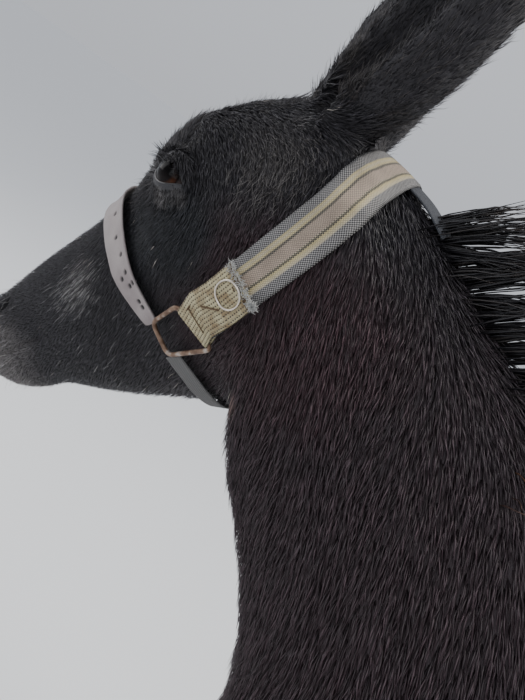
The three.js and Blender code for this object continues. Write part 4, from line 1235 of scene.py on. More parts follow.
HOOF_NODES = [f"{end}_{hand}_hoof" for end in ("front", "hind") for hand in ("left", "right")]
for node in HOOF_NODES:
    verts, faces = hoof(node)
    add_piece(f"horn_{node}", verts, faces, hoof_paint, [node])
print("hooves", len(HOOF_NODES))

# %% [markdown]
# ## Straps
# Flat straps are modelled directly: rays cast toward the body onto each strap's solid give a fine grid of
# heights, which is eased so that the strap runs smoothly, and a section with rounded edges is swept over
# it. A ray past a strap's edge would meet the strap on the far side of the neck, so a height below zero
# counts as a miss. Each corner keeps how far it is along the strap (run, in metres) and across it (cross, 0
# at the front edge to 1), and the weave is worked out from those two numbers.

# %% Strap tools
COLUMNS = 15  # points across a strap


def tree_of(*names):
    """A search tree over some solids."""
    verts, faces = joined([node_arrays(name) for name in names])
    return BVHTree.FromPolygons(verts.tolist(), faces.tolist())


def heights(tree, inner, out, reach):
    """How far out from inner points a solid's far side lies along out, empty where a ray misses."""
    found = np.full(len(inner), np.nan)
    for i, (start, way) in enumerate(zip(inner + reach * out, -out)):
        distance = tree.ray_cast(start.tolist(), way.tolist())[3]
        found[i] = reach - distance if distance is not None else np.nan
    return found


def filled(row):
    """A row with its empty places filled from their neighbours."""
    known = np.flatnonzero(~np.isnan(row))
    return np.interp(np.arange(len(row)), known, row[known])


def eased(grid, rounds):
    """A grid of numbers smoothed along its first direction, its ends kept."""
    for _ in range(rounds):
        grid = np.concatenate([grid[:1], (grid[:-2] + 2 * grid[1:-1] + grid[2:]) / 4, grid[-1:]])
    return grid


def unit(v):
    """Vectors made one long."""
    return v / np.maximum(np.linalg.norm(v, axis=-1, keepdims=True), 1e-12)


def run_of(grid):
    """How far each row of a strap's grid is along its middle column."""
    steps = np.linalg.norm(np.diff(grid[:, grid.shape[1] // 2], axis=0), axis=1)
    return np.concatenate([[0], np.cumsum(steps)])


def lay_strap(tree, inner, out, width, reach=0.35, rounds=8, calm=0, columns=COLUMNS):
    """Grid of points and normals on a strap's outer face, and the distance along its middle.

    Heights are eased along the strap by rounds, and its direction across by calm. Where the solid slopes
    across the strap, the width seen along out is narrowed, so that the strap keeps its true width."""
    tall = heights(tree, inner, out, reach)
    tall[tall < 0] = np.nan
    middle = inner + eased(filled(tall), rounds)[:, None] * out
    along = unit(np.gradient(middle, axis=0))
    across = unit(eased(unit(np.cross(out, along)), calm))
    edge = np.linspace(-1, 1, columns)
    true_width = width + np.zeros(len(inner))
    width = true_width
    for _ in range(2):
        starts = inner[:, None] + across[:, None] * (0.47 * width[:, None] * edge)[:, :, None]
        outs = np.broadcast_to(out[:, None], starts.shape)
        found = heights(tree, starts.reshape(-1, 3), outs.reshape(-1, 3), reach).reshape(len(inner), columns)
        found[found < 0] = np.nan
        found = np.column_stack([filled(column) for column in found.T])
        found = eased(eased(found, rounds).T, 3).T
        grid = inner[:, None] + across[:, None] * (0.5 * width[:, None] * edge)[:, :, None]
        grid = grid + found[:, :, None] * outs
        laid = np.linalg.norm(grid[:, -1] - grid[:, 0], axis=1)
        width = eased(width * np.minimum(true_width / laid, 1), 20)
    normal = unit(np.cross(np.gradient(grid, axis=1), np.gradient(grid, axis=0)))
    normal *= np.sign(np.einsum("ijk,ijk->ij", normal, outs))[:, :, None]
    return grid, normal, run_of(grid)


def strap_solid(grid, normal, run, thick):
    """A strap under a grid of points: closed sections with rounded edges, and its run and cross numbers."""
    columns = grid.shape[1]
    drop = np.sqrt(np.clip(1 - np.linspace(-1, 1, columns) ** 16, 0, 1))
    top = grid - normal * (0.5 * thick * (1 - drop))[None, :, None]
    low = grid - normal * (0.5 * thick * (1 + drop))[None, :, None]
    ring = np.concatenate([top, low[:, 1:-1][:, ::-1]], axis=1)
    cross = np.linspace(1, 0, columns)
    cross = np.concatenate([cross, cross[1:-1][::-1]])
    sides = ring.shape[1]
    faces = grid_faces(len(grid), sides)
    j = np.arange(1, columns - 1)
    end = np.stack([j - 1, j, (sides - j) % sides, (sides - j + 1) % sides], -1)[1:]
    tips = np.array([[0, 1, sides - 1], [columns - 2, columns - 1, columns]])
    base = (len(grid) - 1) * sides
    verts = ring.reshape(-1, 3)
    turned = outward(verts, faces)
    quads = np.vstack([end[:, ::-1], base + end])
    tris = np.vstack([tips[:, ::-1], base + tips])
    if turned is not faces:
        quads, tris = quads[:, ::-1], tris[:, ::-1]
    numbers = {"run": np.repeat(run, sides), "cross": np.tile(cross, len(grid))}
    return verts, [np.vstack([turned, quads]), tris], numbers


def strap_spot(grid, normal, run, at_run, at_cross):
    """Points and normals of a strap's grid at distances along and shares across it."""
    rows, columns = grid.shape[:2]
    i = np.interp(at_run, run, np.arange(rows))
    j = (1 - np.asarray(at_cross)) * (columns - 1)
    i0, j0 = np.clip(i.astype(int), 0, rows - 2), np.clip(j.astype(int), 0, columns - 2)
    u, v = (i - i0)[:, None], (j - j0)[:, None]

    def mixed(a):
        """Values of a, mixed from the four grid points around each place."""
        near = a[i0, j0] * (1 - v) + a[i0, j0 + 1] * v
        return near * (1 - u) + (a[i0 + 1, j0] * (1 - v) + a[i0 + 1, j0 + 1] * v) * u

    return mixed(grid), unit(mixed(normal))


def section_stops(start, stop, count, along, below, tilt):
    """Inner points and outward directions of a strap in a tilted section of the head."""
    t = np.radians(np.linspace(start, stop, count))
    inner = np.tile(head_point(along, below), (count, 1))
    out = np.outer(tilt * np.sin(t), ALONG) - np.outer(np.sin(t), BELOW) + np.outer(np.cos(t), SIDE)
    return inner, unit(out)


def refined(values, count):
    """Rows of coarse stops spread evenly onto a finer count of stops."""
    place = np.linspace(0, len(values) - 1, count)
    at = np.arange(len(values))
    return np.column_stack([np.interp(place, at, column) for column in np.transpose(values)])


FROM_F = POLL[1] + 0.445  # y = FROM_F - f turns the solids' forward distances into y
side_stops = np.array([[0.435, 1.037], [0.422, 1.060], [0.411, 1.085], [0.401, 1.115], [0.393, 1.144]])
over = np.radians(np.arange(6, 175, 12))
lateral = np.column_stack([np.zeros(5), FROM_F - side_stops[:, 0], side_stops[:, 1]])
inner_over = np.column_stack([0 * over, FROM_F - 0.388 - 0.013 * np.sin(over) ** 2, 0 * over + 1.150])
crown_inner = np.vstack([lateral, inner_over, lateral[::-1]])
left_out = np.tile([1.0, 0, 0], (5, 1))
crown_out = np.vstack([left_out, np.column_stack([np.cos(over), 0 * over, np.sin(over)]), -left_out])
print("crown stops", len(crown_inner))

# %% [markdown]
# ## The webbing of the crown
# The crown strap is woven webbing: grey and black checks along its edges, cream and tan stripes with dark
# dashes between them. Warp and weft are two sines, one along the strap and one across it; where both are
# high a thread stands up. A ramp over cross gives the stripes.

# %% Crown strap
def sine(tree, value, per_metre, phase=0.0):
    """A sine wave of a number, from -1 to 1."""
    turned = chain(tree, "ShaderNodeMath", value, 2 * math.pi * per_metre, phase, operation="MULTIPLY_ADD")
    return chain(tree, "ShaderNodeMath", turned, operation="SINE")


def weave(tree, run, cross, run_pitch, cross_threads):
    """Checks of threads: the product of a sine along the strap and one across it, near -1 or 1."""
    along, across = sine(tree, run, 1 / run_pitch), sine(tree, cross, cross_threads)
    both = chain(tree, "ShaderNodeMath", along, across, operation="MULTIPLY")
    return chain(tree, "ShaderNodeMath", both, 3.0, 0.0, operation="MULTIPLY_ADD", use_clamp=False)


def half_up(tree, value):
    """A number from -1 to 1 moved to 0 to 1."""
    return chain(tree, "ShaderNodeMath", value, 0.5, 0.5, operation="MULTIPLY_ADD", use_clamp=True)


def blend(tree, factor, first, second):
    """Mix of two colours by a number."""
    mixed = add_node(tree, "ShaderNodeMix", {"Factor": factor}, data_type="RGBA")
    for index, colour in ((6, first), (7, second)):
        if isinstance(colour, bpy.types.NodeSocket):
            tree.links.new(colour, mixed.inputs[index])
        else:
            mixed.inputs[index].default_value = (*colour, 1)
    return mixed.outputs[2]


def add_bump(tree, shader, height, distance, strength=1.0):
    """Bumps the surface by a height."""
    made = add_node(tree, "ShaderNodeBump", {"Height": height, "Distance": distance, "Strength": strength})
    tree.links.new(made.outputs["Normal"], shader.inputs["Normal"])


CREAM, TAN, YELLOW = (0.46, 0.40, 0.28), (0.36, 0.285, 0.22), (0.47, 0.39, 0.20)
GREY_THREAD, BLACK_THREAD = (0.27, 0.260, 0.252), (0.012, 0.012, 0.014)


def webbing_material():
    """Woven stripes by run and cross, faded and a little dirty."""
    paint, tree, shader = new_material("striped_webbing")
    run, cross = attribute(tree, "run"), attribute(tree, "cross")
    checks = half_up(tree, weave(tree, run, cross, 0.0021, 20.0))
    stripes = ramp(
        tree, cross,
        (0.0, GREY_THREAD), (0.19, GREY_THREAD), (0.215, YELLOW), (0.26, CREAM), (0.31, YELLOW),
        (0.33, CREAM), (0.39, TAN), (0.60, TAN), (0.62, CREAM), (0.68, YELLOW), (0.765, CREAM),
        (0.79, GREY_THREAD), (1.0, GREY_THREAD),
    )
    dark = ramp(
        tree, cross,
        (0.0, 0.97), (0.19, 0.95), (0.215, 0.36), (0.31, 0.36), (0.325, 1.0), (0.375, 1.0), (0.39, 0.46),
        (0.60, 0.46), (0.615, 1.0), (0.665, 1.0), (0.68, 0.36), (0.765, 0.36), (0.79, 0.95), (1.0, 0.97),
    )
    share = chain(tree, "ShaderNodeMath", checks, dark, operation="MULTIPLY")
    rows = ramp(
        tree, cross,
        (0.0, 0.0), (0.325, 0.0), (0.335, 0.72), (0.362, 0.72), (0.372, 0.0), (0.618, 0.0), (0.628, 0.72),
        (0.655, 0.72), (0.665, 0.0), (1.0, 0.0),
    )
    share = chain(tree, "ShaderNodeMath", share, rows, operation="MAXIMUM")
    colour = blend(tree, share, stripes, BLACK_THREAD)
    place = add_node(tree, "ShaderNodeTexCoord").outputs["Object"]
    dirt = add_node(tree, "ShaderNodeTexNoise", {"Vector": place, "Scale": 45.0, "Detail": 5.0})
    colour = times(tree, colour, ramp(tree, dirt.outputs["Fac"], (0.25, 0.72), (0.6, 1.05)))
    tree.links.new(colour, shader.inputs["Base Color"])
    shader.inputs["Roughness"].default_value = 0.72
    add_bump(tree, shader, checks, 0.0005)
    return paint


STRAP_STEPS = 300
EASE = 240  # rounds of easing: webbing bends slowly where its path turns over the crest
crown_fine_in = eased(refined(crown_inner, STRAP_STEPS), EASE)
crown_fine_out = unit(eased(refined(crown_out, STRAP_STEPS), EASE))
crown_grid, crown_normal, crown_run = lay_strap(
    tree_of("halter_crown_strap"), crown_fine_in, crown_fine_out, 0.038, calm=60
)
verts, faces, numbers = strap_solid(crown_grid, crown_normal, crown_run, 0.0019)
webbing_paint = webbing_material()
webbing = add_piece("crown_webbing", verts, faces, webbing_paint, ["halter_crown_strap"])
with_numbers(webbing, numbers)
crown_width = np.linalg.norm(crown_grid[:, -1] - crown_grid[:, 0], axis=1)
print("webbing", round(crown_run[-1], 3), "m along its middle")
print("webbing from", crown_width.min().round(4), "to", crown_width.max().round(4), "m wide")

# %% [markdown]
# ## Sewn ends
# Each end of the webbing passes round its ring, folds back, and is sewn down over itself. Its last stretch
# climbs to the top of the ring's wire and bends round it. The fold is the coarser back of the cloth, cream
# and yellow with dark dashed lines. Brown thread crosses it, its cut edge is frayed, and on the left a wire
# circle is sewn on.

# %% Sewn ends
WIRE_RADIUS = 0.0021
RING_LIFT = WIRE_RADIUS + 0.0052
RING_CORNERS = [(0.182, 0.127), (0.221, 0.130), (0.218, 0.159), (0.163, 0.167)]
FOLD_RADIUS = WIRE_RADIUS + 0.0014
SEWN_WIDTH = 0.038
CLIMB_FROM, CLIMB_STEPS = 8, 12  # the row where the climb to the wire begins, and its own rows


def ring_corners(hand):
    """The ring's four corners, laid over the cheek."""
    side = 1.0 if hand == "left" else -1.0
    corners = head_point([a for a, _ in RING_CORNERS], [b for _, b in RING_CORNERS])
    out = np.tile([side, 0, 0], (4, 1))
    return corners + (filled(heights(flesh_tree, corners, out, 0.4)) + RING_LIFT)[:, None] * out


def sewn_material():
    """The coarse back of the webbing: ribs across, dark dashes in lines along, brown stains."""
    paint, tree, shader = new_material("sewn_webbing")
    run, cross = attribute(tree, "run"), attribute(tree, "cross")
    ribs = half_up(tree, sine(tree, run, 1 / 0.0024))
    lines = half_up(tree, sine(tree, cross, 12.0))
    place = add_node(tree, "ShaderNodeTexCoord").outputs["Object"]
    stain = add_node(tree, "ShaderNodeTexNoise", {"Vector": place, "Scale": 120.0, "Detail": 4.0})
    in_line = ramp(tree, lines, (0.66, 0.0), (0.88, 1.0))
    in_gap = ramp(tree, ribs, (0.35, 1.0), (0.75, 0.15))
    dashes = chain(tree, "ShaderNodeMath", in_line, in_gap, operation="MULTIPLY")
    stained = ramp(tree, stain.outputs["Fac"], (0.42, 0.0), (0.66, 0.8))
    colour = blend(tree, stained, (0.44, 0.39, 0.24), (0.20, 0.13, 0.06))
    colour = blend(tree, dashes, colour, (0.045, 0.035, 0.025))
    tree.links.new(colour, shader.inputs["Base Color"])
    shader.inputs["Roughness"].default_value = 0.8
    height = chain(tree, "ShaderNodeMath", ribs, lines, operation="SUBTRACT")
    add_bump(tree, shader, height, 0.0006)
    return paint


sewn_paint = sewn_material()
thread_paint, _, thread_shader = new_material("brown_thread")
thread_shader.inputs["Base Color"].default_value = (0.085, 0.050, 0.022, 1)
thread_shader.inputs["Roughness"].default_value = 0.75
fluff_paint, _, fluff_shader = new_material("frayed_fluff")
fluff_shader.inputs["Base Color"].default_value = (0.46, 0.46, 0.44, 1)
fluff_shader.inputs["Roughness"].default_value = 0.85

sewn = {}
for hand, stops in (("left", slice(0, 3)), ("right", slice(-1, -4, -1))):
    inner, out = refined(crown_inner[stops], 60), unit(refined(crown_out[stops], 60))
    grid, normal, run = lay_strap(tree_of(f"halter_strap_end_{hand}"), inner, out, SEWN_WIDTH, rounds=4)
    if hand == "right":
        grid, normal = grid[:, ::-1], normal[:, ::-1]
    corners = ring_corners(hand)
    wire = corners[3] - corners[0]
    share = 0.5 + np.linspace(0.5, -0.5, COLUMNS) * SEWN_WIDTH / np.linalg.norm(wire)
    facing = unit(normal[0].mean(axis=0))
    climb = np.linspace(0, 1, CLIMB_STEPS + 1)[:-1, None, None]
    top = corners[0] + np.multiply.outer(share, wire) + FOLD_RADIUS * facing
    grid = np.concatenate([top * (1 - climb) + grid[CLIMB_FROM] * climb, grid[CLIMB_FROM:]])
    normal = normal[CLIMB_FROM:]
    normal = np.concatenate([np.repeat(normal[:1], CLIMB_STEPS, axis=0), normal])
    normal = unit(eased(normal, 4))
    normal[0] = facing
    ahead = unit(grid[0] - grid[3])
    ahead = unit(ahead - np.einsum("ij,j->i", ahead, facing)[:, None] * facing)
    bend = np.linspace(np.pi, 0, 9)[:-1, None, None]
    fold_centre = grid[0] - normal[0] * FOLD_RADIUS
    fold = fold_centre + FOLD_RADIUS * (np.cos(bend) * normal[0] + np.sin(bend) * ahead)
    fold_normal = unit(np.cos(bend) * normal[0] + np.sin(bend) * ahead)
    under = np.linspace(0.012, 0.002, 4)[:, None, None]
    tuck = fold[:1] - ahead * under
    grid = np.concatenate([tuck, fold, grid])
    normal = np.concatenate([np.repeat(fold_normal[:1], 4, axis=0), fold_normal, normal])
    run = run_of(grid)
    verts, faces, numbers = strap_solid(grid, normal, run, 0.0015)
    piece = add_piece(f"sewn_end_{hand}", verts, faces, sewn_paint, [f"halter_strap_end_{hand}"])
    with_numbers(piece, numbers)
    sewn[hand] = grid, normal, run
print("sewn ends", [round(run[-1], 3) for _, _, run in sewn.values()])


def thread(hand, start, stop, radius=0.00055, wander=0.0, lift=0.0004, count=14):
    """A thread on a sewn end between two places (run, cross), wandering sideways."""
    grid, normal, run = sewn[hand]
    t = np.linspace(0, 1, count)
    at_run = start[0] + (stop[0] - start[0]) * t + wander * rng.standard_normal(count)
    at_cross = start[1] + (stop[1] - start[1]) * t + 20 * wander * rng.standard_normal(count)
    points, normals = strap_spot(grid, normal, run, at_run, np.clip(at_cross, 0.02, 0.98))
    return tube(points + normals * (lift + 0.3 * radius * np.sin(t * 40))[:, None], radius, 6)


def joined_groups(pieces):
    """Several (vertices, face groups) as one, groups of the same corner count put together."""
    start, verts, groups = 0, [], {}
    for piece_verts, piece_groups in pieces:
        for g in piece_groups:
            groups.setdefault(g.shape[1], []).append(g + start)
        verts.append(piece_verts)
        start += len(piece_verts)
    return np.vstack(verts), [np.vstack(g) for g in groups.values()]


FOLD_RUN = 0.025  # how far along the sewn piece its top face begins
for hand in sewn:
    end_run = sewn[hand][2][-1]
    lines = [
        thread(hand, (FOLD_RUN + 0.009, 0.20), (FOLD_RUN + 0.009, 0.78)),
        thread(hand, (FOLD_RUN + 0.007, 0.19), (FOLD_RUN + 0.012, 0.20), 0.0007),
        thread(hand, (FOLD_RUN + 0.022, 0.36), (FOLD_RUN + 0.036, 0.62), 0.0007),
    ]
    for _ in range(26):
        at = (end_run - abs(rng.normal(0, 0.0035)), rng.uniform(0.05, 0.95))
        to = (min(end_run, at[0] + rng.normal(0, 0.003)), np.clip(at[1] + rng.normal(0, 0.14), 0.03, 0.97))
        lines.append(thread(hand, at, to, 0.00032, 0.0006, 0.0007, 10))
    verts, faces = joined_groups(lines)
    add_piece(f"stitches_{hand}", verts, faces, thread_paint)
    count = 520
    low_end = rng.random(count) < 0.3
    at_run = end_run - np.abs(rng.normal(0, 0.0022, count)) + 0.002 * low_end
    at_cross = np.where(low_end, rng.normal(0.95, 0.035, count), rng.random(count))
    grid, normal, run = sewn[hand]
    roots, normals = strap_spot(grid, normal, run, np.clip(at_run, 0, end_run), np.clip(at_cross, 0, 1))
    ahead = unit(grid[-1, COLUMNS // 2] - grid[-6, COLUMNS // 2])
    ways = ahead * 0.6 + rng.normal(0, 0.75, (count, 3)) + 0.25 * normals
    ways = unit(ways - 0.75 * np.einsum("ij,ij->i", ways, normals)[:, None] * normals)
    fluff = add_tufts(
        f"fluff_{hand}", roots, normals, ways, rng.uniform(0.002, 0.006, count), np.full(count, 0.0005),
        rng.uniform(0.0005, 0.0025, count) + 0.0015 * low_end, rng.uniform(-120, 200, count),
        rng.random(count), np.column_stack([spread(at_run), spread(at_cross)]), 3, 0.35,
    )
    fluff.data.materials.append(fluff_paint)

# %% [markdown]
# ## Noseband, chin strap and crown tail
# The noseband is smooth grey-beige leather with punched holes, its edges a little curled and rubbed. Each
# hole is a real dent: the grid sinks there, and its colour is painted near black as the shade in the hole.
# The chin strap under the jaw and the loose tail of the crown strap are plain dark webbing.

# %% Leather and plain straps
# Holes of the noseband on the left: (degrees round the nose, share across from the upper edge).
PUNCHED = [
    (35, 0.58), (12, 0.57), (-4, 0.67), (-17, 0.67), (-19, 0.38),
    (-25, 0.82), (-26, 0.60), (-36, 0.60), (-40, 0.60),
]
HOLE_RADIUS = 0.0021


def leather_material():
    """Smooth worn leather: grey-beige with rubbed and pink patches, painted dark in the holes as their shade.
    """
    paint, tree, shader = new_material("noseband_leather")
    place = add_node(tree, "ShaderNodeTexCoord").outputs["Object"]
    patch = add_node(tree, "ShaderNodeTexNoise", {"Vector": place, "Scale": 28.0, "Detail": 5.0})
    grain = add_node(tree, "ShaderNodeTexNoise", {"Vector": place, "Scale": 700.0, "Detail": 3.0})
    colour = ramp(
        tree, patch.outputs["Fac"],
        (0.3, (0.195, 0.160, 0.158)), (0.5, (0.255, 0.220, 0.213)), (0.7, (0.300, 0.268, 0.255)),
    )
    edge = ramp(tree, attribute(tree, "cross"), (0.0, 0.62), (0.06, 1.0), (0.94, 1.0), (1.0, 0.62))
    colour = times(tree, colour, edge)
    # Painted shade: the holes are coloured near black.
    colour = blend(tree, attribute(tree, "hole"), colour, (0.006, 0.005, 0.005))
    tree.links.new(colour, shader.inputs["Base Color"])
    shader.inputs["Roughness"].default_value = 0.56
    add_bump(tree, shader, grain.outputs["Fac"], 0.0004)
    return paint


def plain_material(name, colour, pitch=0.0016):
    """Dull woven cloth of one colour."""
    paint, tree, shader = new_material(name)
    checks = half_up(tree, weave(tree, attribute(tree, "run"), attribute(tree, "cross"), pitch, 9.0))
    tree.links.new(blend(tree, checks, colour, np.multiply(colour, 0.45)), shader.inputs["Base Color"])
    shader.inputs["Roughness"].default_value = 0.82
    add_bump(tree, shader, checks, 0.0004)
    return paint


NOSE_FROM, NOSE_TO = -50, 229.84  # degrees round the nose
NOSE_COUNT, NOSE_COLUMNS = 520, 33
inner, out = section_stops(NOSE_FROM, NOSE_TO, NOSE_COUNT, 0.242, 0.062, 0.23)
stop = np.linspace(0, 22, NOSE_COUNT)
width = 0.018 + 0.013 * np.clip(np.minimum(stop, 22 - stop) / 3, 0, 1)
nose_grid, nose_normal, nose_run = lay_strap(
    tree_of("halter_noseband"), inner, out, width, rounds=60, columns=NOSE_COLUMNS
)
degrees = np.linspace(NOSE_FROM, NOSE_TO, NOSE_COUNT)
share = np.linspace(1, 0, NOSE_COLUMNS)
hole = np.zeros((NOSE_COUNT, NOSE_COLUMNS))
for angle, across in PUNCHED:
    at = np.argmin(abs(degrees - angle))
    spot = nose_grid[at, int(round((1 - across) * (NOSE_COLUMNS - 1)))]
    away = np.linalg.norm(nose_grid - spot, axis=2)
    hole = np.maximum(hole, smooth_step(1.25 * HOLE_RADIUS, 0.8 * HOLE_RADIUS, away))
curl = 0.0012 * np.abs(2 * share - 1) ** 4 - 0.0004 * np.sin(nose_run * 90)[:, None]
nose_grid = nose_grid + nose_normal * (curl - 0.0016 * hole)[:, :, None]
verts, faces, numbers = strap_solid(nose_grid, nose_normal, nose_run, 0.0024)
numbers["hole"] = np.concatenate([hole, np.zeros((NOSE_COUNT, NOSE_COLUMNS - 2))], axis=1).ravel()
noseband = add_piece("noseband", verts, faces, leather_material(), ["halter_noseband"])
with_numbers(noseband, numbers)

inner, out = section_stops(-130, -50, 110, 0.221, 0.100, 0.12)
grid, normal, run = lay_strap(tree_of("halter_chin_strap"), inner, out, 0.020, 0.118, rounds=20)
verts, faces, numbers = strap_solid(grid, normal, run, 0.0018)
chin_paint = plain_material("chin_cloth", (0.16, 0.155, 0.15))
chin = add_piece("chin_strap", verts, faces, chin_paint, ["halter_chin_strap"])
with_numbers(chin, numbers)

coarse = np.array([[0.0, FROM_F - 0.384 + 0.009 * i, 1.104 - 0.003 * i] for i in range(6)])
inner = refined(coarse, 40)
lean = math.radians(85)
out = np.tile([math.cos(lean), 0, math.sin(lean)], (40, 1))
grid, normal, run = lay_strap(tree_of("halter_crown_tail"), inner, out, 0.016, rounds=6)
grid = grid + normal * (0.0018 * np.sin(np.linspace(0, np.pi, 40)))[:, None, None]
verts, faces, numbers = strap_solid(grid, normal, run, 0.0018)
tail_paint = plain_material("crown_tail_cloth", (0.055, 0.060, 0.072))
crown_tail = add_piece("crown_tail_strap", verts, faces, tail_paint, ["halter_crown_tail"])
with_numbers(crown_tail, numbers)
print("noseband", round(nose_run[-1], 3), "m, holes", len(PUNCHED))

# %% [markdown]
# ## Rings and the wire circle
# The side rings are bent from thick wire gone rusty brown, four corners rounded. The circle on the left end
# is a thin bright wire. Both are round tubes along their middle lines; rust is a rough brown noise laid over
# the metal.

# %% Wire
RING_BEND = 0.008


def ring_line(hand):
    """The ring's middle line: corners laid on the cheek, each rounded by a curve of second degree."""
    corners = ring_corners(hand)
    before, after = np.roll(corners, 1, 0), np.roll(corners, -1, 0)
    start = corners + RING_BEND * unit(before - corners)
    stop = corners + RING_BEND * unit(after - corners)
    t = np.linspace(0, 1, 9)[:, None, None]
    bends = (1 - t) ** 2 * start + 2 * t * (1 - t) * corners + t**2 * stop
    lines = []
    for i in range(4):
        straight = np.linspace(bends[-1, i], bends[0, (i + 1) % 4], 8)[1:-1]
        lines += [bends[:, i], straight]
    return np.vstack(lines)


rust_paint, rust_tree, rust_shader = new_material("rusty_wire")
rust_place = add_node(rust_tree, "ShaderNodeTexCoord").outputs["Object"]
rust_noise = add_node(rust_tree, "ShaderNodeTexNoise", {"Vector": rust_place, "Scale": 160.0, "Detail": 6.0})
rust_tone = ramp(
    rust_tree, rust_noise.outputs["Fac"],
    (0.35, (0.10, 0.052, 0.030)), (0.52, (0.20, 0.125, 0.080)), (0.66, (0.36, 0.31, 0.27)),
)
rust_tree.links.new(rust_tone, rust_shader.inputs["Base Color"])
rust_shader.inputs["Metallic"].default_value = 0.35
rust_shader.inputs["Roughness"].default_value = 0.48
add_bump(rust_tree, rust_shader, rust_noise.outputs["Fac"], 0.0005)
bright_paint, _, bright_shader = new_material("bright_wire")
bright_shader.inputs["Base Color"].default_value = (0.62, 0.56, 0.48, 1)
bright_shader.inputs["Metallic"].default_value = 0.85
bright_shader.inputs["Roughness"].default_value = 0.28

for hand in ("left", "right"):
    verts, faces = tube(ring_line(hand), WIRE_RADIUS, 16, closed=True)
    add_piece(f"side_ring_{hand}", verts, faces, rust_paint, [f"halter_ring_{hand}"])

grid, normal, run = sewn["left"]
circle_solid = node_arrays("halter_wire_circle")[0]
circle_middle = circle_solid.mean(axis=0)
nearest = np.unravel_index(np.argmin(np.linalg.norm(grid[16:] - circle_middle, axis=2)), grid[16:].shape[:2])
facing = normal[16 + nearest[0], nearest[1]]
across = unit(grid[16 + nearest[0], -1] - grid[16 + nearest[0], 0])
turn = np.linspace(0, 2 * np.pi, 64, endpoint=False)[:, None]
circle = np.cos(turn) * across + np.sin(turn) * np.cross(facing, across)
middle = grid[16 + nearest[0], nearest[1]] + 0.0012 * facing
verts, faces = tube(middle + 0.0108 * circle + 0.0004 * np.sin(3 * turn) * facing, 0.0008, 10, closed=True)
add_piece("wire_circle", verts, faces, bright_paint, ["halter_wire_circle"])
print("ring corners", len(RING_CORNERS))

# %% [markdown]
# ## Mane, tail and stray hair
# Long hair is made like the coat, with more rings in each strand so that it can curve. The mane stands on
# the crest in locks, blown back, and a few wisps reach past them; shorter brown hair fans out beside it.
# The tail's switch hangs from the end of the dock, and the ears' rims, the forehead, the chin and the
# muzzle carry strays and whiskers.

# %% Long hair
crest_tree = BVHTree.FromPolygons(skin_verts.tolist(), skin_faces.tolist())


def on_skin(points, ways, reach=0.15):
    """Points moved back along their ways until they lie on the skin, with the skin's normals."""
    placed, facing = [], []
    for p, way in zip(points, ways):
        spot, normal, _, _ = crest_tree.ray_cast((p + reach * way).tolist(), (-way).tolist())
        placed.append(p if spot is None else np.array(spot))
        facing.append(way if normal is None else np.array(normal))
    return np.array(placed), np.array(facing)


def strands(name, roots, starts, pull, length, width, tone, segments=5, curl=0.0, stray=0.15):
    """Free strands: they leave along starts and are drawn over by pull, on a curve of second degree."""
    count = len(roots)
    s = np.linspace(0, 1, segments + 1)
    starts = unit(starts + stray * rng.standard_normal((count, 3)))
    pull = unit(pull + stray * rng.standard_normal((count, 3)))
    side = unit(np.cross(starts, pull) + 1e-3)
    phase = rng.random(count) * 6.28
    spine = []
    for t in s:
        move = starts * (t - 0.5 * t * t) + pull * (0.5 * t * t + 0.15 * t)
        wave = curl * t * np.sin(7 * t + phase)
        spine.append(roots + (move + side * wave[:, None]) * length[:, None])
    spine = np.stack(spine, axis=1)
    ahead = unit(np.gradient(spine, axis=1))
    across = unit(np.cross(ahead, side[:, None] + 0.3 * ahead))
    third = unit(np.cross(ahead, across))
    thick = (0.5 * width)[:, None] * (1 - s**2.2)[None] * (0.8 + 0.2 * np.sin(3 * s))[None]
    rings = [
        np.stack(
            [
                spine[:, i] + thick[:, i, None] * (math.cos(a) * across[:, i] + math.sin(a) * third[:, i])
                for a in (0.0, 2.094, 4.189)
            ],
            axis=1,
        )
        for i in range(segments)
    ]
    verts = np.concatenate([*rings, spine[:, -1:]], axis=1)
    groups = hair_faces(count, segments)
    flat = verts.reshape(-1, 3)
    a, b, c = (flat[groups[0][:, k]] for k in range(3))
    q = [flat[groups[1][:, k]] for k in range(4)]
    base = np.repeat(roots, len(groups[0]) // count, axis=0)
    volume = np.einsum("ij,ij->", a - base, np.cross(b - base, c - base))
    base = np.repeat(roots, len(groups[1]) // count, axis=0)
    volume += np.einsum("ij,ij->", q[0] - base, np.cross(q[1] - base, q[2] - base))
    volume += np.einsum("ij,ij->", q[0] - base, np.cross(q[2] - base, q[3] - base))
    if volume < 0:
        groups = [g[:, ::-1] for g in groups]
    spots = np.column_stack([spread(roots @ [0.3, 1.0, 0.0]), spread(roots @ [1.0, 0.0, 0.7])])
    ring_uv = np.array([[0.0, 0.0], [0.5, 0.1], [0.25, 0.5]]) * UV_PATCH
    uv = np.concatenate([np.tile(ring_uv, (segments, 1)), [[0.25 * UV_PATCH, 0.2 * UV_PATCH]]])
    reach = np.append(np.repeat(s[:-1], 3), 1.0)
    uv[:, 1] += reach * 0.5 * UV_PATCH
    uv = spots[:, None] * (1 - 2 * UV_PATCH) + UV_PATCH / 2 + uv[None]
    piece = hair_piece(name, verts, groups, uv, tone, reach)
    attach(piece, "root")
    return piece


def hair_material(name, dark, light, tip):
    """Coarse hair: dark strands and lighter ones by tone, their ends by reach."""
    paint, tree, shader = new_material(name)
    colour = blend(tree, ramp(tree, attribute(tree, "tone"), (0.55, 0.0), (1.0, 1.0)), dark, light)
    colour = blend(tree, ramp(tree, attribute(tree, "reach"), (0.55, 0.0), (1.0, 0.8)), colour, tip)
    tree.links.new(colour, shader.inputs["Base Color"])
    shader.inputs["Roughness"].default_value = 0.42
    return paint


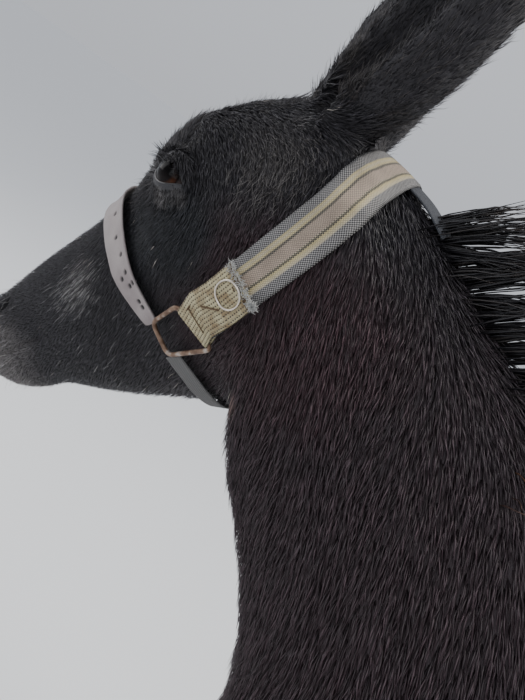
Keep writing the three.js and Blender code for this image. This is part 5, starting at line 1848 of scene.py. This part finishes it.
mane_paint = hair_material("mane_hair", (0.010, 0.009, 0.011), (0.040, 0.034, 0.032), (0.045, 0.032, 0.026))
fringe_paint = hair_material(
    "fringe_hair", (0.022, 0.019, 0.020), (0.070, 0.060, 0.055), (0.12, 0.105, 0.095)
)
rusty_paint = hair_material("rusty_hair", (0.040, 0.022, 0.018), (0.11, 0.052, 0.028), (0.20, 0.105, 0.055))
tail_hair_paint = hair_material(
    "tail_hair", (0.010, 0.009, 0.010), (0.035, 0.028, 0.025), (0.040, 0.028, 0.022)
)
curl_paint = hair_material("curl_hair", (0.045, 0.040, 0.040), (0.13, 0.12, 0.115), (0.23, 0.21, 0.20))
whisker_paint = hair_material("whisker", (0.30, 0.29, 0.28), (0.55, 0.53, 0.50), (0.6, 0.6, 0.6))

# The crest from the poll to the withers: forward distance and height.
CREST = np.array([
    [0.362, 1.203], [0.322, 1.187], [0.260, 1.158], [0.180, 1.136],
    [0.100, 1.121], [0.030, 1.113], [-0.030, 1.108],
])


def crest_roots(count, low=0.0, high=1.0, spread_x=0.012):
    """Points scattered along the crest, from the poll (0) to the withers (1), with the skin's normals."""
    t = np.interp(rng.uniform(low, high, count), np.linspace(0, 1, len(CREST)), np.arange(len(CREST)))
    f, z = (np.interp(t, np.arange(len(CREST)), CREST[:, k]) for k in range(2))
    x = spread_x * rng.standard_normal(count)
    points = np.column_stack([x, FROM_F - f, z + 0 * x])
    ways = unit(np.column_stack([6 * x, 0 * x, 1 + 0 * x]))
    return (*on_skin(points, ways), t / (len(CREST) - 1))


MANE_LOCKS = 52
roots, normals, t = crest_roots(1700, 0.0, 1.0, 0.007)
lock = np.minimum((t * MANE_LOCKS).astype(int), MANE_LOCKS - 1)
lock_rise, lock_size = rng.normal(0, 0.15, MANE_LOCKS)[lock], rng.uniform(0.6, 1.3, MANE_LOCKS)[lock]
lock_middle = (lock + 0.5) / MANE_LOCKS
gather = 0.42 * (lock_middle - t) * 12
length = (0.080 + 0.030 * np.sin(np.pi * t)) * lock_size
length = length * rng.uniform(0.6, 1.1, len(t)) * smooth_step(1.02, 0.8, t)
length *= np.where(rng.random(len(t)) < 0.08, 1.5, 1.0)  # a few wisps reach past their lock
mane = strands(
    "mane_strands", roots, normals + np.column_stack([0 * t, 0.7 + gather, 0.2 + lock_rise]),
    np.column_stack([-0.35 + 0 * t, 0.75 + gather, 0.50 - 0.45 * t + lock_rise]), length,
    rng.uniform(0.0010, 0.0019, len(t)), rng.random(len(t)), 5, 0.05, 0.06,
)
mane.data.materials.append(mane_paint)
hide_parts("mane")
print("mane", len(t), "strands")

roots, normals, t = crest_roots(900, 0.45, 1.0, 0.024)
outward_back = np.column_stack([np.sign(roots[:, 0]), 0.8 + 0 * t, -0.3 + 0 * t])
rusty = strands(
    "crest_fuzz", roots, normals + [0, 0.3, 0.0], outward_back,
    0.028 * rng.uniform(0.5, 1.3, len(t)), rng.uniform(0.0008, 0.0014, len(t)), rng.random(len(t)),
    4, 0.12, 0.25,
)
rusty.data.materials.append(rusty_paint)

count = 2000
t = rng.random(count) ** 0.8
turn = rng.uniform(0, 2 * np.pi, count)
tail_z = 0.74 - 0.24 * t
tail_y = 0.812 + 0.010 * t
start = np.column_stack([0.02 * np.cos(turn), tail_y + 0.02 * np.sin(turn), tail_z])
ways = np.column_stack([np.cos(turn), np.sin(turn), 0 * turn])
roots, normals = on_skin(start, ways, 0.045)
switch = strands(
    "tail_switch", roots, 0.10 * normals + [0, 0, -1.0], np.tile([0.0, 0.0, -1.0], (count, 1)),
    np.minimum(0.30 * rng.uniform(0.6, 1.1, count), roots[:, 2] - 0.30), rng.uniform(0.0014, 0.0026, count),
    rng.random(count), 5, 0.03, 0.05,
)
switch.data.materials.append(tail_hair_paint)
print("tail", count, "strands")

# %% [markdown]
# ## Strays and whiskers
# A few hairs break the outline everywhere: fuzz on the forehead, a fringe along the ears' rims, curls at
# the ears' roots, white hairs on the side of the nose and the jaw, and stiff whiskers on the lips and the
# chin.

# %% Strays
def stray_hairs(name, weight, count, lean, length, width, paint, curl=0.08, stray=0.3, down=0.0):
    """Strands scattered by a weight on the skin's faces, leaning out of the coat along its flow."""
    roots, normals, _ = scatter(weight, count)
    d = flow(roots, normals)
    piece = strands(
        name, roots, lean * normals + d, d * 1.0 + 0.2 * normals + [0, 0, -down],
        length * rng.uniform(0.6, 1.3, count), width * rng.uniform(0.7, 1.2, count), rng.random(count),
        3, curl, stray,
    )
    piece.data.materials.append(paint)
    return piece


away_eyes = eye_clear(skin_middles)
forehead = skin_head * smooth_step(0.03, -0.01, skin_below) * smooth_step(0.30, 0.20, skin_along)
temple = skin_head * bump(skin_along - 0.075, 0.045) * bump(skin_below - 0.050, 0.040)
stray_hairs("forehead_fuzz", forehead * away_eyes, 5200, 0.38, 0.011, 0.00036, fringe_paint, curl=0.05)
stray_hairs("temple_curls", temple * away_eyes, 1500, 0.45, 0.015, 0.0005, curl_paint, curl=0.16, stray=0.35)

ear_out = np.zeros(len(skin_middles))
for ear in EARS.values():
    root, axis, opening, across = ear_frame(ear)
    d = skin_middles - root
    up = d @ axis
    off = d - np.multiply.outer(up, axis)
    mine = (np.linalg.norm(off, axis=1) < 0.07) & (up > -0.02)
    rim = smooth_step(0.35, 0.75, unit(off) @ opening + 0.35 * bump(up - 0.13, 0.2))
    ear_out = np.where(mine, np.maximum(ear_out, 0.03 + rim), ear_out)
stray_hairs("ear_fringe", ear_out * skin_ear, 4200, 0.40, 0.013, 0.0005, fringe_paint, curl=0.07, stray=0.28)
nose_side = skin_head * bump(skin_along - 0.318, 0.050) * bump(skin_below - 0.066, 0.036)
stray_hairs("nose_white_hairs", nose_side, 420, 0.20, 0.013, 0.00045, whisker_paint, stray=0.12, curl=0.03)
jaw_side = skin_head * bump(skin_along - 0.30, 0.12) * bump(skin_below - 0.13, 0.05)
stray_hairs("jaw_white_hairs", jaw_side, 60, 0.30, 0.014, 0.00045, whisker_paint, stray=0.2, curl=0.03)
lips = skin_head * smooth_step(0.41, 0.45, skin_along)
stray_hairs("lip_whiskers", lips, 320, 1.1, 0.014, 0.0004, whisker_paint, stray=0.3, curl=0.05)

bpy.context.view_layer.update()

# %% [markdown]
# ## Triangles in all
# The triangles of all shown pieces are counted and printed.

# %% Finish
total = sum(len(p.vertices) - 2 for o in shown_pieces() if o.type == "MESH" for p in o.data.polygons)
print("triangles in all", total)
